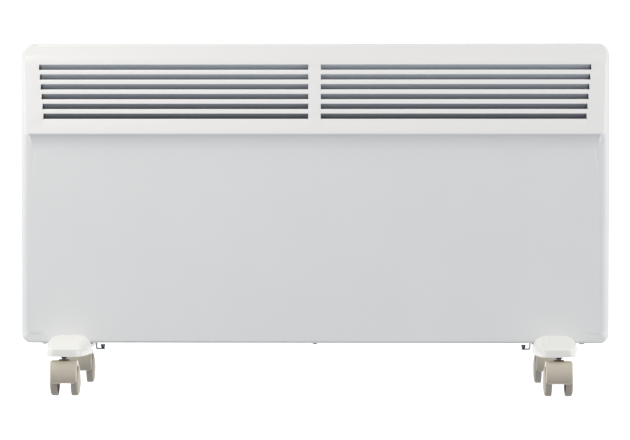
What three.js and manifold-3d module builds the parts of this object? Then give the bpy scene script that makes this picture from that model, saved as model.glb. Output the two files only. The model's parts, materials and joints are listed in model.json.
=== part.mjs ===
// Panel convector heater on two white feet with four swivelling twin-wheel casters.
// Millimetres. +Z is up, the panel faces -Y, X runs along the width.
// The origin is on the floor, under the middle of the heater's overall box.
import * as THREE from "three";
import { mergeVertices } from "three/addons/utils/BufferGeometryUtils.js";
import Module from "manifold-3d";

const wasm = await Module();
wasm.setup();

// ---------------------------------------------------------------- driving dimensions

// Fits
const gap = 0.3; // between faces that touch
const clear = 0.3; // round a pin, shank or shaft

// Casing as a whole
const casingWidth = 830;
const casingHeight = 422;
const casingDepth = 96; // main face to back plate
const sheet = 0.7; // painted steel sheet

// Front panel
const panelDepth = 56; // main face to the panel's rear edge
const topCorner = 18; // corner radii seen from the front
const bottomCorner = 14;
const sideRound = 13; // rounding from the face into the side walls
const bottomRound = 6; // rounding from the face into the bottom
const louvreDrop = 127.5; // top of the casing to the louvre face's lower lip
const louvreProud = 9; // how far that lip stands in front of the main face
const louvreSetback = 6; // how far the louvre face's top lies behind the main face
const louvreTopInset = 5.5; // flat louvre face to the casing's outline, at the top
const louvreLipInset = 12; // and at the lip
const louvreEdgeAngle = 60; // degrees that the side rounding turns before it meets the louvre face
const coveHeight = 24; // hollow curve under the lip

// Louvre slots
const slotRows = 6;
const slotPitch = 13.8;
const slotHeight = 7.8;
const firstSlotDrop = 33.8; // top of the casing to the first slot's middle
const postWidth = 17.5; // solid post between the two columns
const firstSlotInset = 27.4; // side of the casing to the first slot's outer end
const lastSlotInset = 34.2; // and to the last slot's
const slotEndLean = 0.6; // a slot's lower edge reaches this much farther out than its upper edge
const vaneSheet = 0.9;
const vaneCover = 1; // vane's overlap above and below its slot
const vaneDepth = 9.5;
const vaneEndGap = 1.5; // opening left beside a vane's outer end

// Rear case
const caseInset = 16; // side walls inside the panel's side walls
const caseCorner = 10;
const flangeBack = 2; // flange in front of the panel's rear edge
const tongueFront = 18; // floor tongue stops this far behind the main face
const hookHoleWidth = 30;
const hookHoleHeight = 12;
const hookHoleInset = 165; // side of the casing to a hook hole's middle
const hookHoleDrop = 62; // top of the casing to the hook holes
const ventCount = 12;
const ventPitch = 26;
const ventWidth = 8;
const ventHeight = 46;
const ventBottom = 26;
const inletCount = 5;
const inletPitch = 112;
const inletLength = 98;
const inletWidth = 26;

// Bottom screws, five along the front edge
const screwShank = 4; // diameters
const screwHead = 8.4;
const screwHeadHeight = 2.6;
const screwLength = 9;
const screwBack = 32; // main face to the row of screws
const screwInsets = { left: [30.4, 95.7], right: [103.3, 36.5] }; // from the casing's sides

// Latches under the casing
const latchInsets = { left: 97.9, right: 105.7 }; // from the casing's sides
const latchBack = 82; // main face to the latch's middle
const latchStrip = 1.5;
const latchWidth = 12;
const latchDrop = 15.5;
const latchTop = 15; // length of the upper leg
const latchHook = 12.8; // length of the lower leg
const latchScrewIn = 10; // outside of the upright leg to the screw's middle
const latchBend = 3;
const latchShank = 3; // diameters
const latchHead = 6.6;
const latchHeadSeat = 4.4;
const latchHeadHeight = 5.4;
const latchHeadRim = 2; // straight part of the head above its cone

// Feet
const footInsets = { left: 69.4, right: 77.4 }; // casing's side to the foot's middle
const footLength = 234;
const footThickness = 13.4; // underside to saddle
const footNoseHeight = 9.4;
const footHumpHeight = 24.8; // underside to the top of the humps
const footNoseHalf = 22; // half widths
const footShoulderHalf = 33;
const footSaddleHalf = 24;
const footNoseRound = 10;
const footHumpFlat = 12.6;
const footNoseWall = 7.2; // upright wall below the dome
const footHumpWall = 9.5;
const footLedge = 3.5; // wall's top inside the shoulder, out to the dome
const footDomeStart = 10; // degrees from upright where the dome leaves the ledge
const saddleTaper = 14; // shoulder to saddle
const humpWall = 3; // flat top behind the casing's face
const footPocketDepth = 9;
const footPocketHalf = 15;
const footPocketLength = 38;
const footPocketOffset = 45;
const footScrewShank = 5;
const footScrewHead = 10;
const footScrewHeadHeight = 3;

// Casters
const casterSpacing = 190; // front stem to rear stem
const stemOutset = 2.2; // stems outside the foot's middle line
const wheelRadius = 20;
const wheelWidth = 11.4;
const wheelGap = 19.2; // between the two wheels
const wheelDome = 2.5;
const trail = 14; // axle behind the stem
const axleDiameter = 4;
const axleLength = 33;
const axleBossWall = 1.6;
const hoodTop = 50; // floor to the hood's flat top
const hoodWidth = 37;
const hoodFront = 13; // stem to the front of the hood
const hoodBottom = 19; // floor to the hood's front lower edge
const hoodShell = 2.5;
const hoodCorner = 3;
const wheelRoom = 1.3; // wheel to hood
const hoodWebGap = 1; // web to wheel
const hoodRearAngle = 20; // degrees above the axle where the cover ends behind
const hoodCrownAngle = 86; // and where it leaves the flat top
const hoodShoulder = 5; // rounding between front and top
const hoodLowBack = 2; // lower front edge behind the foremost point
const hoodHighBack = 1.4; // upper front edge behind it
const hoodBulge = 1; // pull on the curve between the two
const hoodBossRise = 8; // web above the axle
const hoodBossHalf = 6;
const stemExposed = 7; // hood top to foot underside
const stemDiameter = 8;
const stemPin = 6.4;
const stemCollar = 14.6;
const stemCollarHeight = 1.5;
const stemFlange = 13;
const stemUpper = 13;
const stemLower = 12;

// Heating element
const elementInsets = { left: 73.8, right: 135 }; // casing's sides to the element's ends
const elementHeight = 70; // above the casing's bottom
const elementBack = 42; // behind the main face
const elementHalfDepth = 24;
const elementHalfHeight = 28;
const finThickness = 2.4;
const finTip = 9;
const hubRadius = 8;
const rodDiameter = 8;
const rodPin = 3.2;
const rodPinLength = 12;
const bushRadius = 9;
const bushFlange = 12;
const bushLength = 12;
const bushLip = 4;
const rodBeyondBush = 4;
const bracketSheet = 1.2;
const bracketDepth = 44;
const bracketTop = 24; // above the element's axis
const bracketFoot = 14;
const bracketSetback = 8; // from the element's end

// Sheets inside
const shieldSheet = 0.6;
const shieldStandoff = 12; // shield to back plate
const shieldBottom = 36;
const shieldTop = 330;
const shieldInset = 25; // left side of the casing to the shield
const guideSheet = 0.6;
const guideBottom = 334;
const guideFront = 28; // main face to the guide's front edge
const guideInset = 27; // side of the casing to the guide's end
const guideFlange = 18; // flat part against the back plate
const partitionInset = 83; // right side of the casing to the partition
const partitionSheet = 0.8;
const partitionTop = 286;
const partitionFlange = 12;
const partitionHole = 9;

// Controls on the right-hand side
const fasciaThickness = 2.5;
const fasciaWidth = 35;
const fasciaBottom = 52;
const fasciaTop = 196;
const fasciaCorner = 5;
const controlsBehindPanel = 21; // panel's rear edge to the controls' middle
const knobHeight = 170; // above the casing's bottom
const knobRadius = 15;
const knobThickness = 11;
const knobRidge = 3.2;
const knobRidgeHeight = 2.2;
const shaftDiameter = 6;
const thermostatWidth = 28;
const thermostatDepth = 24;
const switchHeights = [116, 82];
const switchWidth = 13.4;
const switchLength = 21;
const switchDepth = 20;
const bezelLip = 1.6;
const bezelThickness = 1.6;
const rockerWidth = 9.6;
const rockerLength = 16;
const rockerThickness = 6.4;
const rockerTilt = 7; // degrees each way
const rockerRoom = 10; // depth of the recess that it swings in

// Supply
const terminalHeight = 40;
const terminalLength = 40;
const terminalDepth = 18;
const terminalTall = 18;
const terminalInset = 49; // right side of the casing to the block's middle
const glandHeight = 26;
const glandRadius = 8;
const glandFlange = 11;
const glandBore = 3.9;
const glandNose = 9;
const glandNut = 3.5;
const cutoutSize = 16;
const cutoutDepth = 8;
const cutoutInset = 153; // right side of the casing to its middle
const cutoutHeight = 130;
const cutoutEar = 1.5;
const wireRadius = 1.6;
const wireStub = 8; // straight run where a wire leaves a terminal
const wireBend = 16; // reach of a bend
const wireSlack = 26; // loop between two terminals
const wireOffset = 4; // beside the middle of the wiring's path

// ---------------------------------------------------------------- derived places

// Places along X at given distances inside the casing's left and right sides.
function fromSides({ left, right }) {
  return { left: left - casingWidth / 2, right: casingWidth / 2 - right };
}

const halfWidth = casingWidth / 2;
const firstSlotEnd = halfWidth - firstSlotInset;
const lastSlotEnd = halfWidth - lastSlotInset;
const bottomScrewXs = [
  ...screwInsets.left.map((inset) => inset - halfWidth),
  0,
  ...screwInsets.right.map((inset) => halfWidth - inset),
];
const latchXs = fromSides(latchInsets);
const footXs = fromSides(footInsets);
const elementEnds = fromSides(elementInsets);
const partitionX = halfWidth - partitionInset;
const terminalX = halfWidth - terminalInset;
const cutoutX = halfWidth - cutoutInset;
const faceY = -casingDepth / 2;
const backY = casingDepth / 2;
const panelRearY = faceY + panelDepth;
const footUnderside = hoodTop + stemExposed;
const casingBottom = footUnderside + footThickness + gap;
const wheelAxleZ = wheelRadius;
const lipZ = casingHeight - louvreDrop;
const coveZ = lipZ - coveHeight;
const caseHalf = halfWidth - caseInset;
const caseBottomZ = sheet + gap;
const caseTopZ = casingHeight - sheet - gap;
const floorTopZ = caseBottomZ + sheet;
const backInnerY = backY - sheet;
const wallInnerX = caseHalf - sheet;
const screwY = faceY + screwBack;
const elementY = faceY + elementBack;
const controlY = panelRearY + controlsBehindPanel;
const fasciaX = caseHalf + gap;
const controlX = fasciaX + fasciaThickness + gap;

// The box runs from the foot's nose to the rear wheels, and the origin is under its middle.
const frontReach = Math.max(footLength / 2, casterSpacing / 2 + hoodFront);
const hoodRadius = wheelRadius + wheelRoom + hoodShell;
const hoodReach = trail + hoodRadius * Math.cos(THREE.MathUtils.degToRad(hoodRearAngle));
const rearReach = Math.max(footLength / 2, casterSpacing / 2 + hoodReach);
const middleShift = (frontReach - rearReach) / 2;

// ---------------------------------------------------------------- materials

function finish(color, roughness, metalness = 0) {
  return new THREE.MeshStandardMaterial({ color, roughness, metalness });
}

const whitePaint = finish(0xeeeeec, 0.45);
const whitePlastic = finish(0xf4f4f0, 0.4);
const beigePlastic = finish(0xb5ab98, 0.45);
const greyTread = finish(0x8b8279, 0.6);
const darkSteel = finish(0x3d4348, 0.35, 1);
const zincSteel = finish(0xb9bdc0, 0.4, 1);
const shaftSteel = finish(0x8f9296, 0.3, 1);
const bareAluminium = finish(0xc9ccce, 0.35, 1);
const ceramic = finish(0xe9e2d2, 0.6);
const greyPlastic = finish(0x9a9da0, 0.5);
const blackPlastic = finish(0x1c1d1f, 0.4);
const brownWire = finish(0x5b3420, 0.5);
const blueWire = finish(0x2f5f9e, 0.5);
const earthWire = finish(0x6f9c2f, 0.5);
const blackWire = finish(0x222222, 0.5);

// ---------------------------------------------------------------- solids

// A geometry, or a list of vertices and triangles, as a solid that can be cut and joined.
function solid(geometry) {
  const bare = geometry.clone();
  bare.deleteAttribute("normal");
  bare.deleteAttribute("uv");
  const merged = mergeVertices(bare, 1e-4);
  const mesh = new wasm.Mesh({
    numProp: 3,
    vertProperties: new Float32Array(merged.attributes.position.array),
    triVerts: new Uint32Array(merged.index.array),
  });
  return new wasm.Manifold(mesh);
}

function geometryOf(body) {
  const mesh = body.getMesh();
  const geometry = new THREE.BufferGeometry();
  geometry.setAttribute("position", new THREE.BufferAttribute(mesh.vertProperties, 3));
  geometry.setIndex(new THREE.BufferAttribute(mesh.triVerts, 1));
  geometry.computeVertexNormals();
  return geometry;
}

function cut(body, ...tools) {
  return tools.reduce((left, tool) => left.subtract(tool), body);
}

function join(body, ...others) {
  return others.reduce((sum, other) => sum.add(other), body);
}

// Closed surface from rows of vertices; it is turned outwards if its volume comes out negative.
function surface(vertices, triangles) {
  let volume = 0;
  for (const [a, b, c] of triangles) {
    volume += vertices[a].dot(vertices[b].clone().cross(vertices[c]));
  }
  const faces = volume < 0 ? triangles.map(([a, b, c]) => [a, c, b]) : triangles;
  const geometry = new THREE.BufferGeometry();
  geometry.setFromPoints(vertices);
  geometry.setIndex(faces.flat());
  return geometry;
}

function box(x0, x1, y0, y1, z0, z1) {
  const geometry = new THREE.BoxGeometry(x1 - x0, y1 - y0, z1 - z0);
  return solid(geometry.translate((x0 + x1) / 2, (y0 + y1) / 2, (z0 + z1) / 2));
}

function outline(points) {
  return new THREE.Shape(points.map(([u, v]) => new THREE.Vector2(u, v)));
}

function roundedOutline(halfU, v0, v1, radius) {
  const shape = new THREE.Shape();
  shape.moveTo(-halfU + radius, v0);
  shape.lineTo(halfU - radius, v0);
  shape.absarc(halfU - radius, v0 + radius, radius, -Math.PI / 2, 0, false);
  shape.lineTo(halfU, v1 - radius);
  shape.absarc(halfU - radius, v1 - radius, radius, 0, Math.PI / 2, false);
  shape.lineTo(-halfU + radius, v1);
  shape.absarc(-halfU + radius, v1 - radius, radius, Math.PI / 2, Math.PI, false);
  shape.lineTo(-halfU, v0 + radius);
  shape.absarc(-halfU + radius, v0 + radius, radius, Math.PI, 1.5 * Math.PI, false);
  return shape;
}

function extruded(shape, length) {
  const settings = { depth: length, bevelEnabled: false, curveSegments: 5 };
  return new THREE.ExtrudeGeometry(shape, settings);
}

// Outline in (y, z), swept from x0 to x1.
function alongX(shape, x0, x1) {
  const geometry = extruded(shape, x1 - x0);
  return solid(geometry.rotateX(Math.PI / 2).rotateZ(Math.PI / 2).translate(x0, 0, 0));
}

// Outline in (x, z), swept from y0 to y1.
function alongY(shape, y0, y1) {
  return solid(extruded(shape, y1 - y0).rotateX(Math.PI / 2).translate(0, y1, 0));
}

// Outline in (x, y), swept from z0 to z1.
function alongZ(shape, z0, z1) {
  return solid(extruded(shape, z1 - z0).translate(0, 0, z0));
}

// Turned body: profile is a list of [radius, height] that starts and ends on the axis.
function turned(profile, sides) {
  const points = profile.map(([r, h]) => new THREE.Vector2(r, h));
  return new THREE.LatheGeometry(points, sides, Math.PI / sides);
}

function turnedZ(profile, sides) {
  return solid(turned(profile, sides).rotateX(Math.PI / 2));
}

function turnedX(profile, sides) {
  return solid(turned(profile, sides).rotateZ(-Math.PI / 2));
}

function pinProfile(radius, from, to) {
  return [[0, from], [radius, from], [radius, to], [0, to]];
}

// A hole's corners lie further out than its flats, so the flats keep the radius that is asked.
function boreRadius(radius, sides) {
  return radius / Math.cos(Math.PI / sides);
}

function pinZ(x, y, radius, z0, z1, sides = 16) {
  return turnedZ(pinProfile(radius, z0, z1), sides).translate([x, y, 0]);
}

function pinX(y, z, radius, x0, x1, sides = 16) {
  return turnedX(pinProfile(radius, x0, x1), sides).translate([0, y, z]);
}

// Body through a row of sections with equal numbers of points, closed by a fan at each end.
function lofted(sections) {
  const count = sections[0].length;
  const vertices = sections.flat();
  const triangles = [];
  for (let s = 0; s + 1 < sections.length; s += 1) {
    for (let i = 0; i < count; i += 1) {
      const next = (i + 1) % count;
      const [a, b] = [s * count + i, s * count + next];
      triangles.push([a, b, b + count], [a, b + count, a + count]);
    }
  }
  const last = (sections.length - 1) * count;
  for (let i = 1; i + 1 < count; i += 1) {
    triangles.push([0, i + 1, i], [last, last + i, last + i + 1]);
  }
  return solid(surface(vertices, triangles));
}

// Insulated wire through hand-placed points.
function wire(points) {
  const route = new THREE.CatmullRomCurve3(points.map((p) => new THREE.Vector3(...p)), false, "centripetal");
  const section = new THREE.Shape().absarc(0, 0, wireRadius, 0, 2 * Math.PI, false);
  const steps = 6 * (points.length - 1);
  const settings = { steps, extrudePath: route, curveSegments: 4 };
  return solid(new THREE.ExtrudeGeometry(section, settings));
}

const heater = new THREE.Group();
heater.position.y = middleShift;

function addPiece(group, name, body, material, place = [0, 0, 0], turn = [0, 0, 0]) {
  const mesh = new THREE.Mesh(geometryOf(body), material);
  mesh.name = name;
  mesh.position.set(...place);
  mesh.rotation.set(...turn);
  group.add(mesh);
  return mesh;
}

const casing = new THREE.Group();
casing.position.z = casingBottom;
heater.add(casing);

// ---------------------------------------------------------------- front panel

// Depth of the panel's face at a height, or of the surface inset behind it.
function faceDepth(z, inset) {
  const lipY = faceY - louvreProud;
  const topY = faceY + louvreSetback;
  const plane = lipY + ((topY - lipY) * (z - lipZ)) / louvreDrop + inset;
  if (z > lipZ + inset) {
    return plane;
  }
  if (z < coveZ) {
    return faceY + inset;
  }
  const share = (z - coveZ) / (coveHeight + inset);
  const cove = lipY + (louvreProud + inset) * Math.sqrt(Math.max(0, 1 - share * share));
  return Math.max(plane, cove);
}

function mix(a, b, share) {
  return a + (b - a) * Math.min(1, Math.max(0, share));
}

// Angle that the side rounding turns through at a height: a quarter turn below the cove.
function roundingAngle(z) {
  return THREE.MathUtils.degToRad(mix(louvreEdgeAngle, 90, (lipZ - z) / coveHeight));
}

// How far the flat face stays inside the outline at a height.
function edgeInset(z) {
  if (z > lipZ) {
    return mix(louvreLipInset, louvreTopInset, (z - lipZ) / louvreDrop);
  }
  return mix(louvreLipInset, sideRound, (lipZ - z) / coveHeight);
}

// Right half of the outline from top to bottom: place, outward direction, how far the rounding
// reaches in from the outline, and the angle that it turns through.
function rightOutline(inset) {
  const cornerSteps = 5;
  const half = halfWidth - inset;
  const points = [];
  const topR = topCorner - inset;
  const lowR = bottomCorner - inset;
  const topCentre = [half - topR, casingHeight - inset - topR];
  const lowCentre = [half - lowR, inset + lowR];
  for (let i = 0; i <= cornerSteps; i += 1) {
    const angle = (Math.PI / 2) * (1 - i / cornerSteps);
    const normal = [Math.cos(angle), Math.sin(angle)];
    const z = topCentre[1] + topR * normal[1];
    points.push({ x: topCentre[0] + topR * normal[0], z, normal, edge: edgeInset(z), full: roundingAngle(z) });
  }
  for (const degrees of [0, 14, 30, 50, 70, 90]) {
    const z = coveZ + (coveHeight + inset) * Math.cos(THREE.MathUtils.degToRad(degrees));
    points.push({ x: half, z, normal: [1, 0], edge: edgeInset(z), full: roundingAngle(z) });
  }
  for (let i = 0; i <= cornerSteps; i += 1) {
    const share = i / cornerSteps;
    const angle = (-Math.PI / 2) * share;
    const normal = [Math.cos(angle), Math.sin(angle)];
    const edge = mix(sideRound, bottomRound, share);
    const x = lowCentre[0] + lowR * normal[0];
    points.push({ x, z: lowCentre[1] + lowR * normal[1], normal, edge, full: Math.PI / 2 });
  }
  return points;
}

// Solid block with the panel's outer form, or with the form of the space inside the sheet.
function panelBlock(inset, rearY) {
  const roundSteps = 4;
  const right = rightOutline(inset);
  const rings = [];
  for (let step = -1; step <= roundSteps; step += 1) {
    const ring = right.map(({ x, z, normal, edge, full }) => {
      const radius = edge / (1 - Math.cos(full)) - inset;
      const angle = (full * Math.max(0, step)) / roundSteps;
      const edgeZ = z - normal[1] * radius * (1 - Math.cos(full));
      const inward = radius * (1 - Math.cos(angle));
      const y = faceDepth(edgeZ, inset) + radius * (Math.sin(full) - Math.sin(angle));
      return new THREE.Vector3(x - normal[0] * inward, step < 0 ? rearY : y, z - normal[1] * inward);
    });
    const left = ring.map((p) => new THREE.Vector3(-p.x, p.y, p.z)).reverse();
    rings.push([...ring, ...left]);
  }
  const count = rings[0].length;
  const triangles = [];
  for (let r = 0; r + 1 < rings.length; r += 1) {
    for (let i = 0; i < count; i += 1) {
      const [a, b] = [r * count + i, r * count + ((i + 1) % count)];
      triangles.push([a, b, b + count], [a, b + count, a + count]);
    }
  }
  const front = (rings.length - 1) * count;
  for (let i = 0; i + 1 < right.length; i += 1) {
    const mirror = count - 1 - i;
    triangles.push([i, mirror, mirror - 1], [i, mirror - 1, i + 1]);
    triangles.push(
      [front + i, front + mirror - 1, front + mirror],
      [front + i, front + i + 1, front + mirror - 1],
    );
  }
  return solid(surface(rings.flat(), triangles));
}

function slotMiddle(row) {
  return casingHeight - firstSlotDrop - row * slotPitch;
}

// Outer end of a slot at half its height: each slot ends farther in than the one above it.
function slotEnd(row) {
  return mix(firstSlotEnd, lastSlotEnd, row / (slotRows - 1));
}

function slotCutter(row, side) {
  const z0 = slotMiddle(row) - slotHeight / 2;
  const z1 = z0 + slotHeight;
  const inner = postWidth / 2;
  const [low, high] = [slotEnd(row) + slotEndLean / 2, slotEnd(row) - slotEndLean / 2];
  const corners = [[inner, z0], [low, z0], [high, z1], [inner, z1]];
  const shape = outline(corners.map(([x, z]) => [side * x, z]));
  return alongY(shape, faceY - 2 * louvreProud, faceY + louvreSetback + 3 * sheet);
}

// Sloping vane behind a slot, folded in from the slot's upper edge.
function vane(row, side) {
  const z0 = slotMiddle(row) - slotHeight / 2 - vaneCover;
  const z1 = z0 + slotHeight + 2 * vaneCover;
  const y0 = faceDepth(z1, 0) + sheet / 2;
  const y1 = y0 + vaneDepth;
  const shape = outline([[y0, z1], [y1, z0], [y1, z0 + vaneSheet], [y0, z1 + vaneSheet]]);
  const inner = side * (postWidth / 2);
  const outer = side * (slotEnd(row) - vaneEndGap);
  return alongX(shape, Math.min(inner, outer), Math.max(inner, outer));
}

function shankHoles(radius) {
  return bottomScrewXs.map((x) => pinZ(x, screwY, boreRadius(radius, 12), -1, floorTopZ + 1, 12));
}

function footScrewHoles() {
  const radius = boreRadius(footScrewShank / 2 + clear, 12);
  return Object.values(footXs).map((x) => pinZ(x, screwY, radius, -1, floorTopZ + 1, 12));
}

function frontPanel() {
  let body = panelBlock(0, panelRearY).subtract(panelBlock(sheet, panelRearY + 1));
  for (let row = 0; row < slotRows; row += 1) {
    for (const side of [-1, 1]) {
      body = body.subtract(slotCutter(row, side));
    }
  }
  for (let row = 0; row < slotRows; row += 1) {
    for (const side of [-1, 1]) {
      body = body.add(vane(row, side));
    }
  }
  return cut(body, ...shankHoles(screwShank / 2 + clear), ...footScrewHoles());
}

addPiece(casing, "front_panel", frontPanel(), whitePaint);

// ---------------------------------------------------------------- rear case

const controlHoles = switchHeights.map((z) => {
  const halfY = switchWidth / 2 + clear;
  const halfZ = switchLength / 2 + clear;
  return box(wallInnerX - 1, controlX, controlY - halfY, controlY + halfY, z - halfZ, z + halfZ);
});
const shaftHole = pinX(
  controlY,
  knobHeight,
  boreRadius(shaftDiameter / 2 + 2 * clear, 16),
  wallInnerX - 1,
  controlX,
);

function rearCase() {
  const flangeY = panelRearY - flangeBack;
  const flangeHalf = halfWidth - sheet - gap;
  const flangeShape = roundedOutline(flangeHalf, caseBottomZ, caseTopZ, topCorner - sheet - gap);
  const flange = alongY(flangeShape, flangeY - sheet, flangeY);
  const trayShape = roundedOutline(caseHalf, caseBottomZ, caseTopZ, caseCorner);
  const tray = alongY(trayShape, flangeY - sheet, backY);
  const roomShape = roundedOutline(
    caseHalf - sheet,
    floorTopZ,
    caseTopZ - sheet,
    caseCorner - sheet,
  );
  const room = alongY(roomShape, flangeY - sheet - 1, backInnerY);
  const tongue = box(
    -caseHalf,
    caseHalf,
    faceY + tongueFront,
    flangeY,
    caseBottomZ,
    floorTopZ,
  );
  const tools = [room];
  for (const x of [hookHoleInset - halfWidth, halfWidth - hookHoleInset]) {
    const z = casingHeight - hookHoleDrop;
    const half = hookHoleWidth / 2;
    tools.push(box(x - half, x + half, backInnerY - 1, backY + 1, z - hookHoleHeight, z));
  }
  for (let i = 0; i < ventCount; i += 1) {
    const x = (i - (ventCount - 1) / 2) * ventPitch;
    const half = ventWidth / 2;
    tools.push(box(x - half, x + half, backInnerY - 1, backY + 1, ventBottom, ventBottom + ventHeight));
  }
  for (let i = 0; i < inletCount; i += 1) {
    const x = (i - (inletCount - 1) / 2) * inletPitch;
    const half = inletLength / 2;
    const y = (panelRearY + backY) / 2;
    tools.push(box(x - half, x + half, y - inletWidth / 2, y + inletWidth / 2, 0, floorTopZ + 1));
  }
  const glandHole = pinX(
    controlY,
    glandHeight,
    boreRadius(glandRadius + clear, 20),
    wallInnerX - 1,
    controlX,
    20,
  );
  const body = join(flange, tray).subtract(tools[0]).add(tongue);
  return cut(
    body,
    ...tools.slice(1),
    ...controlHoles,
    shaftHole,
    glandHole,
    ...shankHoles(screwShank / 2 + clear),
    ...footScrewHoles(),
  );
}

addPiece(casing, "rear_case", rearCase(), whitePaint);

// ---------------------------------------------------------------- bottom screws and latches

function screwBody(shank, head, headHeight, length) {
  const edge = head / 2;
  return turnedZ(
    [
      [0, -headHeight],
      [edge * 0.6, -headHeight],
      [edge, -headHeight * 0.45],
      [edge, 0],
      [shank / 2, 0],
      [shank / 2, length],
      [0, length],
    ],
    12,
  );
}

bottomScrewXs.forEach((x, i) => {
  const body = screwBody(screwShank, screwHead, screwHeadHeight, screwLength);
  addPiece(casing, "bottom_screw_" + (i + 1), body, darkSteel, [x, screwY, -gap]);
});

// Strip bent into a hook: its upper leg lies under the rear case, its lower leg points inwards.
function latchBody(sideName) {
  const y = faceY + latchBack;
  const top = caseBottomZ - gap;
  const low = -latchDrop;
  const outer = new THREE.Shape();
  const x = Math.abs(latchXs[sideName]);
  const t = latchStrip;
  outer.moveTo(x - latchTop, top);
  outer.lineTo(x, top);
  outer.lineTo(x, low + latchBend);
  outer.absarc(x - latchBend, low + latchBend, latchBend, 0, -Math.PI / 2, true);
  outer.lineTo(x - latchHook, low);
  outer.lineTo(x - latchHook, low + t);
  outer.lineTo(x - latchBend, low + t);
  outer.absarc(x - latchBend, low + latchBend, latchBend - t, -Math.PI / 2, 0, false);
  outer.lineTo(x - t, top - t);
  outer.lineTo(x - latchTop, top - t);
  const strip = alongY(outer, y - latchWidth / 2, y + latchWidth / 2);
  const holeX = x - latchScrewIn;
  const hole = pinZ(holeX, y, boreRadius(latchShank / 2 + clear, 12), low - 1, low + t + 1, 12);
  const hook = strip.subtract(hole);
  return sideName === "right" ? hook : hook.mirror([1, 0, 0]);
}

// Dark screw that stands in the latch: its head widens upwards from the seat to a straight rim.
function latchScrew() {
  const shank = latchShank / 2;
  const rim = latchHead / 2;
  return turnedZ(
    [
      [0, -latchStrip - 2],
      [shank, -latchStrip - 2],
      [shank, 0],
      [latchHeadSeat / 2, 0],
      [rim, latchHeadHeight - latchHeadRim],
      [rim, latchHeadHeight],
      [0, latchHeadHeight],
    ],
    12,
  );
}

for (const [sideName, x] of Object.entries(latchXs)) {
  addPiece(casing, sideName + "_latch", latchBody(sideName), zincSteel);
  const place = [x - Math.sign(x) * latchScrewIn, faceY + latchBack, -latchDrop + latchStrip + gap];
  addPiece(casing, sideName + "_latch_screw", latchScrew(), darkSteel, place);
}

// ---------------------------------------------------------------- heating element

const { left: elementLeft, right: elementRight } = elementEnds;
const elementX = { left: elementLeft - bracketSetback, right: elementRight + bracketSetback };

// Cast body with four finned arms in an X round the rod.
function elementBody() {
  const hub = turnedX(pinProfile(hubRadius, elementLeft, elementRight), 12);
  const arms = [];
  for (const [dy, dz] of [[1, 1], [1, -1], [-1, 1], [-1, -1]]) {
    const tip = [dy * elementHalfDepth, dz * elementHalfHeight];
    const length = Math.hypot(...tip);
    const across = [(-tip[1] / length) * (finThickness / 2), (tip[0] / length) * (finThickness / 2)];
    arms.push(
      alongX(
        outline([
          [across[0], across[1]],
          [tip[0] + across[0], tip[1] + across[1]],
          [tip[0] - across[0], tip[1] - across[1]],
          [-across[0], -across[1]],
        ]),
        elementLeft,
        elementRight,
      ),
    );
    const edge = dz * elementHalfHeight;
    const low = Math.min(edge, edge - dz * finTip);
    arms.push(
      box(
        elementLeft,
        elementRight,
        tip[0] - finThickness / 2,
        tip[0] + finThickness / 2,
        low,
        low + finTip,
      ),
    );
  }
  const bore = pinX(0, 0, boreRadius(rodDiameter / 2 + clear, 16), elementLeft - 1, elementRight + 1);
  return join(hub, ...arms).subtract(bore);
}

const rodEnds = {
  left: elementX.left - bushLength - rodBeyondBush,
  right: elementX.right + bushLength + rodBeyondBush,
};

function elementRod() {
  const { left, right } = rodEnds;
  return turnedX(
    [
      [0, left - rodPinLength],
      [rodPin / 2, left - rodPinLength],
      [rodPin / 2, left],
      [rodDiameter / 2, left],
      [rodDiameter / 2, right],
      [rodPin / 2, right],
      [rodPin / 2, right + rodPinLength],
      [0, right + rodPinLength],
    ],
    12,
  );
}

// Upright plate that carries a bush, with a foot on the casing's floor.
function elementBracket() {
  const low = floorTopZ + gap - elementHeight;
  const plate = alongX(
    outline([
      [-bracketDepth / 2, low],
      [bracketDepth / 2, low],
      [bracketDepth / 2, low + bracketDepth / 2],
      [bracketDepth / 3, bracketTop],
      [-bracketDepth / 3, bracketTop],
      [-bracketDepth / 2, low + bracketDepth / 2],
    ]),
    0,
    bracketSheet,
  );
  const foot = box(0, bracketFoot, -bracketDepth / 2, bracketDepth / 2, low, low + bracketSheet);
  const hole = pinX(0, 0, boreRadius(bushRadius + clear, 16), -1, bracketSheet + 1);
  return plate.add(foot).subtract(hole);
}

function elementBush() {
  const bore = boreRadius(rodDiameter / 2 + clear, 16);
  return turnedX(
    [
      [bore, -bushLip],
      [bushFlange, -bushLip],
      [bushFlange, -gap],
      [bushRadius, -gap],
      [bushRadius, bushLength],
      [bore, bushLength],
      [bore, -bushLip],
    ],
    16,
  );
}

const element = new THREE.Group();
element.position.set(0, elementY, elementHeight);
casing.add(element);
addPiece(element, "element_body", elementBody(), bareAluminium);
addPiece(element, "element_rod", elementRod(), shaftSteel);
addPiece(element, "element_bracket_left", elementBracket(), zincSteel, [elementX.left, 0, 0], [0, 0, Math.PI]);
addPiece(element, "element_bracket_right", elementBracket(), zincSteel, [elementX.right, 0, 0]);
addPiece(element, "element_bush_left", elementBush(), ceramic, [elementX.left, 0, 0], [0, 0, Math.PI]);
addPiece(element, "element_bush_right", elementBush(), ceramic, [elementX.right, 0, 0]);

// ---------------------------------------------------------------- sheets inside the casing

// Folded sheet: a line of points in (y, z) given thickness towards its left-hand side.
function foldedSheet(line, thickness, x0, x1) {
  const moved = line.map((point, i) => {
    const before = line[Math.max(0, i - 1)];
    const after = line[Math.min(line.length - 1, i + 1)];
    const [dy, dz] = [after[0] - before[0], after[1] - before[1]];
    const length = Math.hypot(dy, dz);
    return [point[0] - (dz / length) * thickness, point[1] + (dy / length) * thickness];
  });
  return alongX(outline([...line, ...moved.reverse()]), x0, x1);
}

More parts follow.
